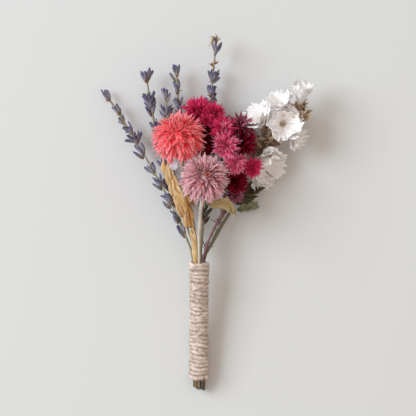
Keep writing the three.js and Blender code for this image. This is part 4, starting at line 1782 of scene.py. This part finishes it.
@dataclass
class Leaf(Piece):
    """A dry leaf or husk, laid over the run of its node.

    grooves and groove_depth rib it along its length, crumple bends it unevenly, ragged eats
    into its edges, ruffle waves them up and down, and roll lifts them in a curl. flare is its
    width as a share of the node's, taper the share of its length in which it narrows to its end,
    and shift how many millimetres it lies from the node. part is added to its name.
    """

    finish: BladeFinish = Finishes.STRAW
    grooves: float = 4.5
    groove_depth: float = 0.16 * MM
    crumple: float = 0.3 * MM
    flare: float = 1.05
    taper: float = 0.5
    roll: float = 0.0
    ragged: float = 0.1
    ruffle: float = 0.0
    shift: tuple[float, float, float] = (0.0, 0.0, 0.0)
    part: str = ""

    def build(self) -> None:
        """Lays a fine grooved sheet between the node's edges."""
        left, mid, right = self.cad.strip(12)
        rows, cols = 64, 25
        left, mid, right = (smooth_path(line, rows) for line in (left, mid, right))
        t = np.linspace(0, 1, rows)
        s = np.linspace(-1, 1, cols)
        narrow = np.minimum(1, np.minimum((t + 0.05) / 0.2, (1.02 - t) / self.taper)) ** 0.7
        grid = np.zeros((rows, cols, 3))
        across = right - left
        up = unit(np.cross(across, np.gradient(mid, axis=0)))
        up = up * np.sign(up[:, 2:3] + 1e-9)
        tears = [(n, self.near(0.5), self.near(3)) for n in (3, 5, 8, 13)]
        for j, place in enumerate(s):
            edge, turned = (right, 3) if place > 0 else (left, 0)
            tear = sum(size * np.sin(n * t * 6 + turn + turned) for n, size, turn in tears)
            share = abs(place) * (1 + self.ragged * tear * place**4)
            grid[:, j] = mid + (edge - mid) * (share * self.flare * narrow)[:, None]
        phase = self.near(3)
        t, s = t[:, None], s[None, :]
        groove = np.cos(s * math.pi * self.grooves) * self.groove_depth
        slow = sum(self.near(1) * np.sin(3.1 * n * t + self.near(2) + s * self.near(3))
                   for n in (1, 2, 3)) * self.crumple
        rolled = self.roll * np.abs(s) ** 2 * np.sin(t * math.pi)
        waves = self.ruffle * np.abs(s) ** 1.5 * np.sin(17 * t + phase + 2 * s)
        grid = grid + (groove + slow + rolled + waves)[..., None] * up[:, None, :]
        grid = grid + np.array(self.shift) * MM
        keep_above(grid, SHEET_GAP)
        shape = Shape()
        shape.sheet(grid, 0.16 * MM, self.chance.random())
        self.show(shape, self.finish, self.part)


@dataclass
class Plait(Piece):
    """Short sheaths that overlap along a husk, to the left and right in turn.

    width is that of the widest sheath, swing how far each springs from the husk's middle, and
    lift how far above it.
    """

    finish: BladeFinish = Finishes.STRAW
    sheaths: int = 11
    longest: float = 10.5 * MM
    width: float = 3.4 * MM
    swing: float = 0.9 * MM
    lift: float = 0.7 * MM

    def build(self) -> None:
        """Lays the sheaths from the husk's foot to its point."""
        _, mid, _ = self.cad.strip(12)
        path = smooth_path(mid, 100)
        shape = Shape()
        for k in range(self.sheaths):
            i = int(88 * k / self.sheaths) + 2  # the last one starts short of the husk's point
            way = unit(path[i + 4] - path[i - 2])
            aside = square_to(way, vec(1, 0, 0)) * (-1 if k % 2 else 1)
            head = unit(way + aside * self.chance.uniform(0.05, 0.3) + vec(0, 0, self.near(0.12)))
            length = self.chance.uniform(0.7, 1) * self.longest
            blade = Blade(length, self.chance.uniform(0.7, 1.1) * self.width, keel=-0.9 * MM,
                          curl=self.near(0.12), waist=0.55, belly=0.45, thick=0.14 * MM,
                          rows=16, cols=11)
            base = path[i] - aside * self.swing + vec(0, 0, self.lift)
            grid = blade.grid(base, head, unit(aside * 0.5 + vec(0, 0, 1)))
            keep_above(grid, SHEET_GAP)
            shape.sheet(grid, blade.thick, self.chance.random())
        self.show(shape, self.finish, "_plait")


@dataclass
class LeafTuft(Piece):
    """Crumpled little leaves, up to longest long, that spring along a leaf's node."""

    finish: BladeFinish = Finishes.GREEN
    leaves: int = 9
    longest: float = 9 * MM

    def build(self) -> None:
        """Fans the leaves out round the node's own run."""
        _, mid, _ = self.cad.strip(12)
        shape = Shape()
        run = unit(mid[-1] - mid[0])
        for k in range(self.leaves):
            at = mid[int(k * 9 / self.leaves)]
            head = unit(run + vec(self.near(0.8), self.near(0.7), self.chance.uniform(0, 0.6)))
            length = self.chance.uniform(0.5, 1) * self.longest
            blade = Blade(length, self.chance.uniform(2.4, 4.2) * MM, keel=self.near(1.0) * MM,
                          curl=self.near(0.5), waist=0.3, thick=0.12 * MM, rows=16, cols=11)
            grid = blade.grid(at, head, vec(self.near(0.5), self.near(0.5), 1))
            wave = (np.sin(np.linspace(0, 14, blade.rows) + self.near(3))[:, None]
                    * np.abs(np.linspace(-1, 1, blade.cols)))
            grid[..., 2] += wave * 0.35 * MM
            keep_above(grid, SHEET_GAP)
            shape.sheet(grid, blade.thick, self.chance.random())
        self.show(shape, self.finish, "_tuft")


# ---- the studio --------------------------------------------------------------------------------


@dataclass
class Studio:
    """The table, the light and the camera.

    field_width is how much of the table the camera takes in from distance above it, at aside to
    the right of the frame's origin and upward from it. sensor is the camera's own, in
    millimetres. table is the length of a side of the table's top. The window is a square light
    of window_size at window_place, with the power window_power, and shines at target.
    """

    field_width: float = 195.5 * MM
    distance: float = 1.15
    aside: float = 0.52 * MM
    upward: float = 2.07 * MM
    sensor: float = 36.0
    table: float = 3.0
    window_size: float = 1.3
    window_place: tuple[float, float, float] = (-1.65, 0.62, 1.36)
    target: tuple[float, float, float] = (0.0, 0.02, 0.01)
    window_power: float = 41.0
    window_colour: Colour = (0.8, 0.92, 1.0)
    fill_colour: Colour = (0.55, 0.49, 0.44)
    fill_strength: float = 1.03

    def camera(self) -> None:
        """Hangs the camera straight over the posy, the flower heads at the top."""
        data = bpy.data.cameras.new("camera")
        data.sensor_width = self.sensor
        data.lens = self.sensor * self.distance / self.field_width
        data.clip_end = 20
        thing = bpy.data.objects.new("camera", data)
        thing.location = (self.aside, self.upward, self.distance)
        bpy.context.scene.collection.objects.link(thing)
        bpy.context.scene.camera = thing

    def floor(self) -> None:
        """Lays the table's top."""
        half = self.table / 2
        corners = np.array([[-half, -half, 0], [half, -half, 0], [half, half, 0], [-half, half, 0]])
        shape = Shape()
        shape.put(corners, [(0, 1, 2, 3)], np.zeros((4, 3)))
        thing = shape.build("table_top")
        thing.data.materials.append(Finishes.material(Finishes.FLOOR))
        thing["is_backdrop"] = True

    def light(self) -> None:
        """Sets a soft window light from the left and a warm fill from all round."""
        world = bpy.data.worlds.new("room")
        world.use_nodes = True
        fill = world.node_tree.nodes["Background"]
        fill.inputs["Color"].default_value = (*self.fill_colour, 1)
        fill.inputs["Strength"].default_value = self.fill_strength
        bpy.context.scene.world = world
        data = bpy.data.lights.new("window", "AREA")
        data.shape = "SQUARE"
        data.size = self.window_size
        data.energy = self.window_power
        data.color = self.window_colour
        thing = bpy.data.objects.new("window", data)
        place = Vector(self.window_place)
        thing.location = place
        thing.rotation_euler = (Vector(self.target) - place).to_track_quat("-Z", "Y").to_euler()
        bpy.context.scene.collection.objects.link(thing)
        bpy.context.scene.view_settings.view_transform = "Standard"


# ---- the posy ----------------------------------------------------------------------------------


@dataclass
class Posy:
    """The whole bunch.

    everlastings gives each crimson head its finish, eye and fullness, and statices each white
    flower its spread, its depth and its lean to the right and up.
    """

    everlastings: Mapping[str, tuple[BladeFinish, Eye, float]] = field(default_factory=lambda: {
        "everlasting_top_left": (Finishes.CRIMSON, Eye.CLOSED, 2.2),
        "everlasting_top_right": (Finishes.CRIMSON, Eye.CLOSED, 1.75),
        "everlasting_open_heart": (Finishes.CRIMSON_DARK, Eye.RUST, 2.8),
        "everlasting_pale_eye": (Finishes.CRIMSON, Eye.PALE, 1.85),
        "everlasting_far_right": (Finishes.CRIMSON_DUSTY, Eye.CLOSED, 2.05),
        "everlasting_bright": (Finishes.CRIMSON_PALE, Eye.PALE, 1.6),
        "everlasting_right_bud": (Finishes.CRIMSON_DARK, Eye.CLOSED, 2.9),
        "everlasting_middle": (Finishes.CRIMSON_PALE, Eye.CLOSED, 1.75),
        "everlasting_star": (Finishes.CRIMSON, Eye.CLOSED, 1.8),
        "everlasting_dark": (Finishes.CRIMSON_DARK, Eye.CLOSED, 2.15),
        "everlasting_lowest": (Finishes.MAUVE, Eye.CLOSED, 1.6),
    })
    statices: Mapping[str, tuple[float, float, float, float]] = field(default_factory=lambda: {
        "statice_tip": (1.05, 2.5, 0.0, 0.0),
        "statice_upper_left": (1.6, 1.2, 0.0, 0.0),
        "statice_left": (1.85, 0.9, 0.0, -1.0),
        "statice_wide": (1.7, 0.85, 0.0, 0.0),
        "statice_right": (1.6, 1.0, -0.5, 1.6),
        "statice_shaded": (1.7, 0.9, 0.0, 0.0),
        "statice_lower": (1.9, 0.8, -1.4, 0.0),
        "statice_lowest": (1.6, 1.2, -1.6, 0.5),
    })

    def pieces(self) -> Iterator[Piece]:
        """Names every piece of the posy, one or two for each node.

        Yields:
            The pieces, ready to build.
        """
        yield TwineWrap("twine_wrap")
        yield LavenderSprig("lavender_long", extra=1.3)
        yield LavenderSprig("lavender_leaning", extra=2.0)
        yield LavenderSprig("lavender_upright", extra=2.0)
        yield LavenderSprig("lavender_grey", finish=Finishes.CALYX_GREY)
        yield LavenderSprig("lavender_short", finish=Finishes.CALYX_DARK)
        yield LavenderSprig("lavender_tall", extra=1.4, crown=True)
        yield GlobeHead("amaranth_coral_head", stem="amaranth_coral_stem")
        yield PlainStem("amaranth_coral_stem")
        yield PinkGlobe("amaranth_pink_head", stem="amaranth_pink_stem", finish=Finishes.PINK,
                        bracts=520, bract_length=7.4 * MM, bract_width=1.15 * MM, keel=0.25 * MM,
                        ripple=0.08 * MM, ragged=0.09, fullness=0.95, settle=0.06)
        yield PlainStem("amaranth_pink_stem")
        yield BranchedStem("everlasting_stem", stubs=2, slimming=0.36)
        yield BranchedStem("statice_stem", finish=Finishes.GREEN_STEM, tufted=True, slimming=0.5)
        for name, (finish, eye, fullness) in self.everlastings.items():
            yield Everlasting(name, stem="everlasting_stem", finish=finish, eye=eye, fullness=fullness)
        for name, (spread, depth, right, up) in self.statices.items():
            yield Statice(name, stem="statice_stem", spread=spread, depth=depth, lean=(right, up))
        yield StrawStalk("straw_stalk")
        yield PlainStem("leaf_stem", finish=Finishes.GREEN_STEM)
        yield Leaf("husk_outer", flare=0.8)
        yield Plait("husk_outer")
        yield Leaf("husk_middle", flare=0.7, roll=0.5 * MM)
        yield Plait("husk_middle", sheaths=7, width=2.8 * MM)
        yield Leaf("husk_brown", finish=Finishes.BROWN_HUSK, flare=0.6)
        yield Plait("husk_brown", finish=Finishes.BROWN_HUSK, sheaths=5, width=2.2 * MM)
        yield Leaf("husk_bract", crumple=0.05 * MM)
        yield Leaf("petal_lilac", finish=Finishes.LILAC, crumple=0.1 * MM)
        yield Leaf("leaf_cream", finish=Finishes.CREAM, crumple=0.6 * MM, roll=1.0 * MM, ragged=0.3,
                   ruffle=1.2 * MM, taper=0.3, flare=1.1, shift=(-0.6, -1.4, 0.4))
        yield Leaf("leaf_cream", finish=Finishes.CREAM, crumple=0.4 * MM, roll=-0.8 * MM, ragged=0.4,
                   ruffle=0.9 * MM, flare=0.7, shift=(1.4, -2.8, -1.0), part="_fold")
        yield Leaf("leaf_green", finish=Finishes.GREEN, crumple=0.7 * MM, ragged=0.35, ruffle=0.7 * MM)
        yield LeafTuft("leaf_green", leaves=13, longest=10 * MM)
        yield Leaf("leaf_sage", finish=Finishes.SAGE, crumple=0.5 * MM, ragged=0.3, ruffle=0.5 * MM)
        yield LeafTuft("leaf_sage", finish=Finishes.SAGE, leaves=4, longest=7 * MM)


def write_sizes() -> None:
    """Gathers the frame's box and the finished posy's box side by side, as plain numbers."""
    boxes = {"cad": CAD_BOX, "visual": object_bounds()}
    plain = {name: [[float(c) for c in corner] for corner in box] for name, box in boxes.items()}


def main() -> None:
    """Builds the studio and the posy."""
    studio = Studio()
    studio.camera()
    studio.floor()
    studio.light()
    for piece in Posy().pieces():
        piece.build()
    write_sizes()


if __name__ == "__main__":
    main()
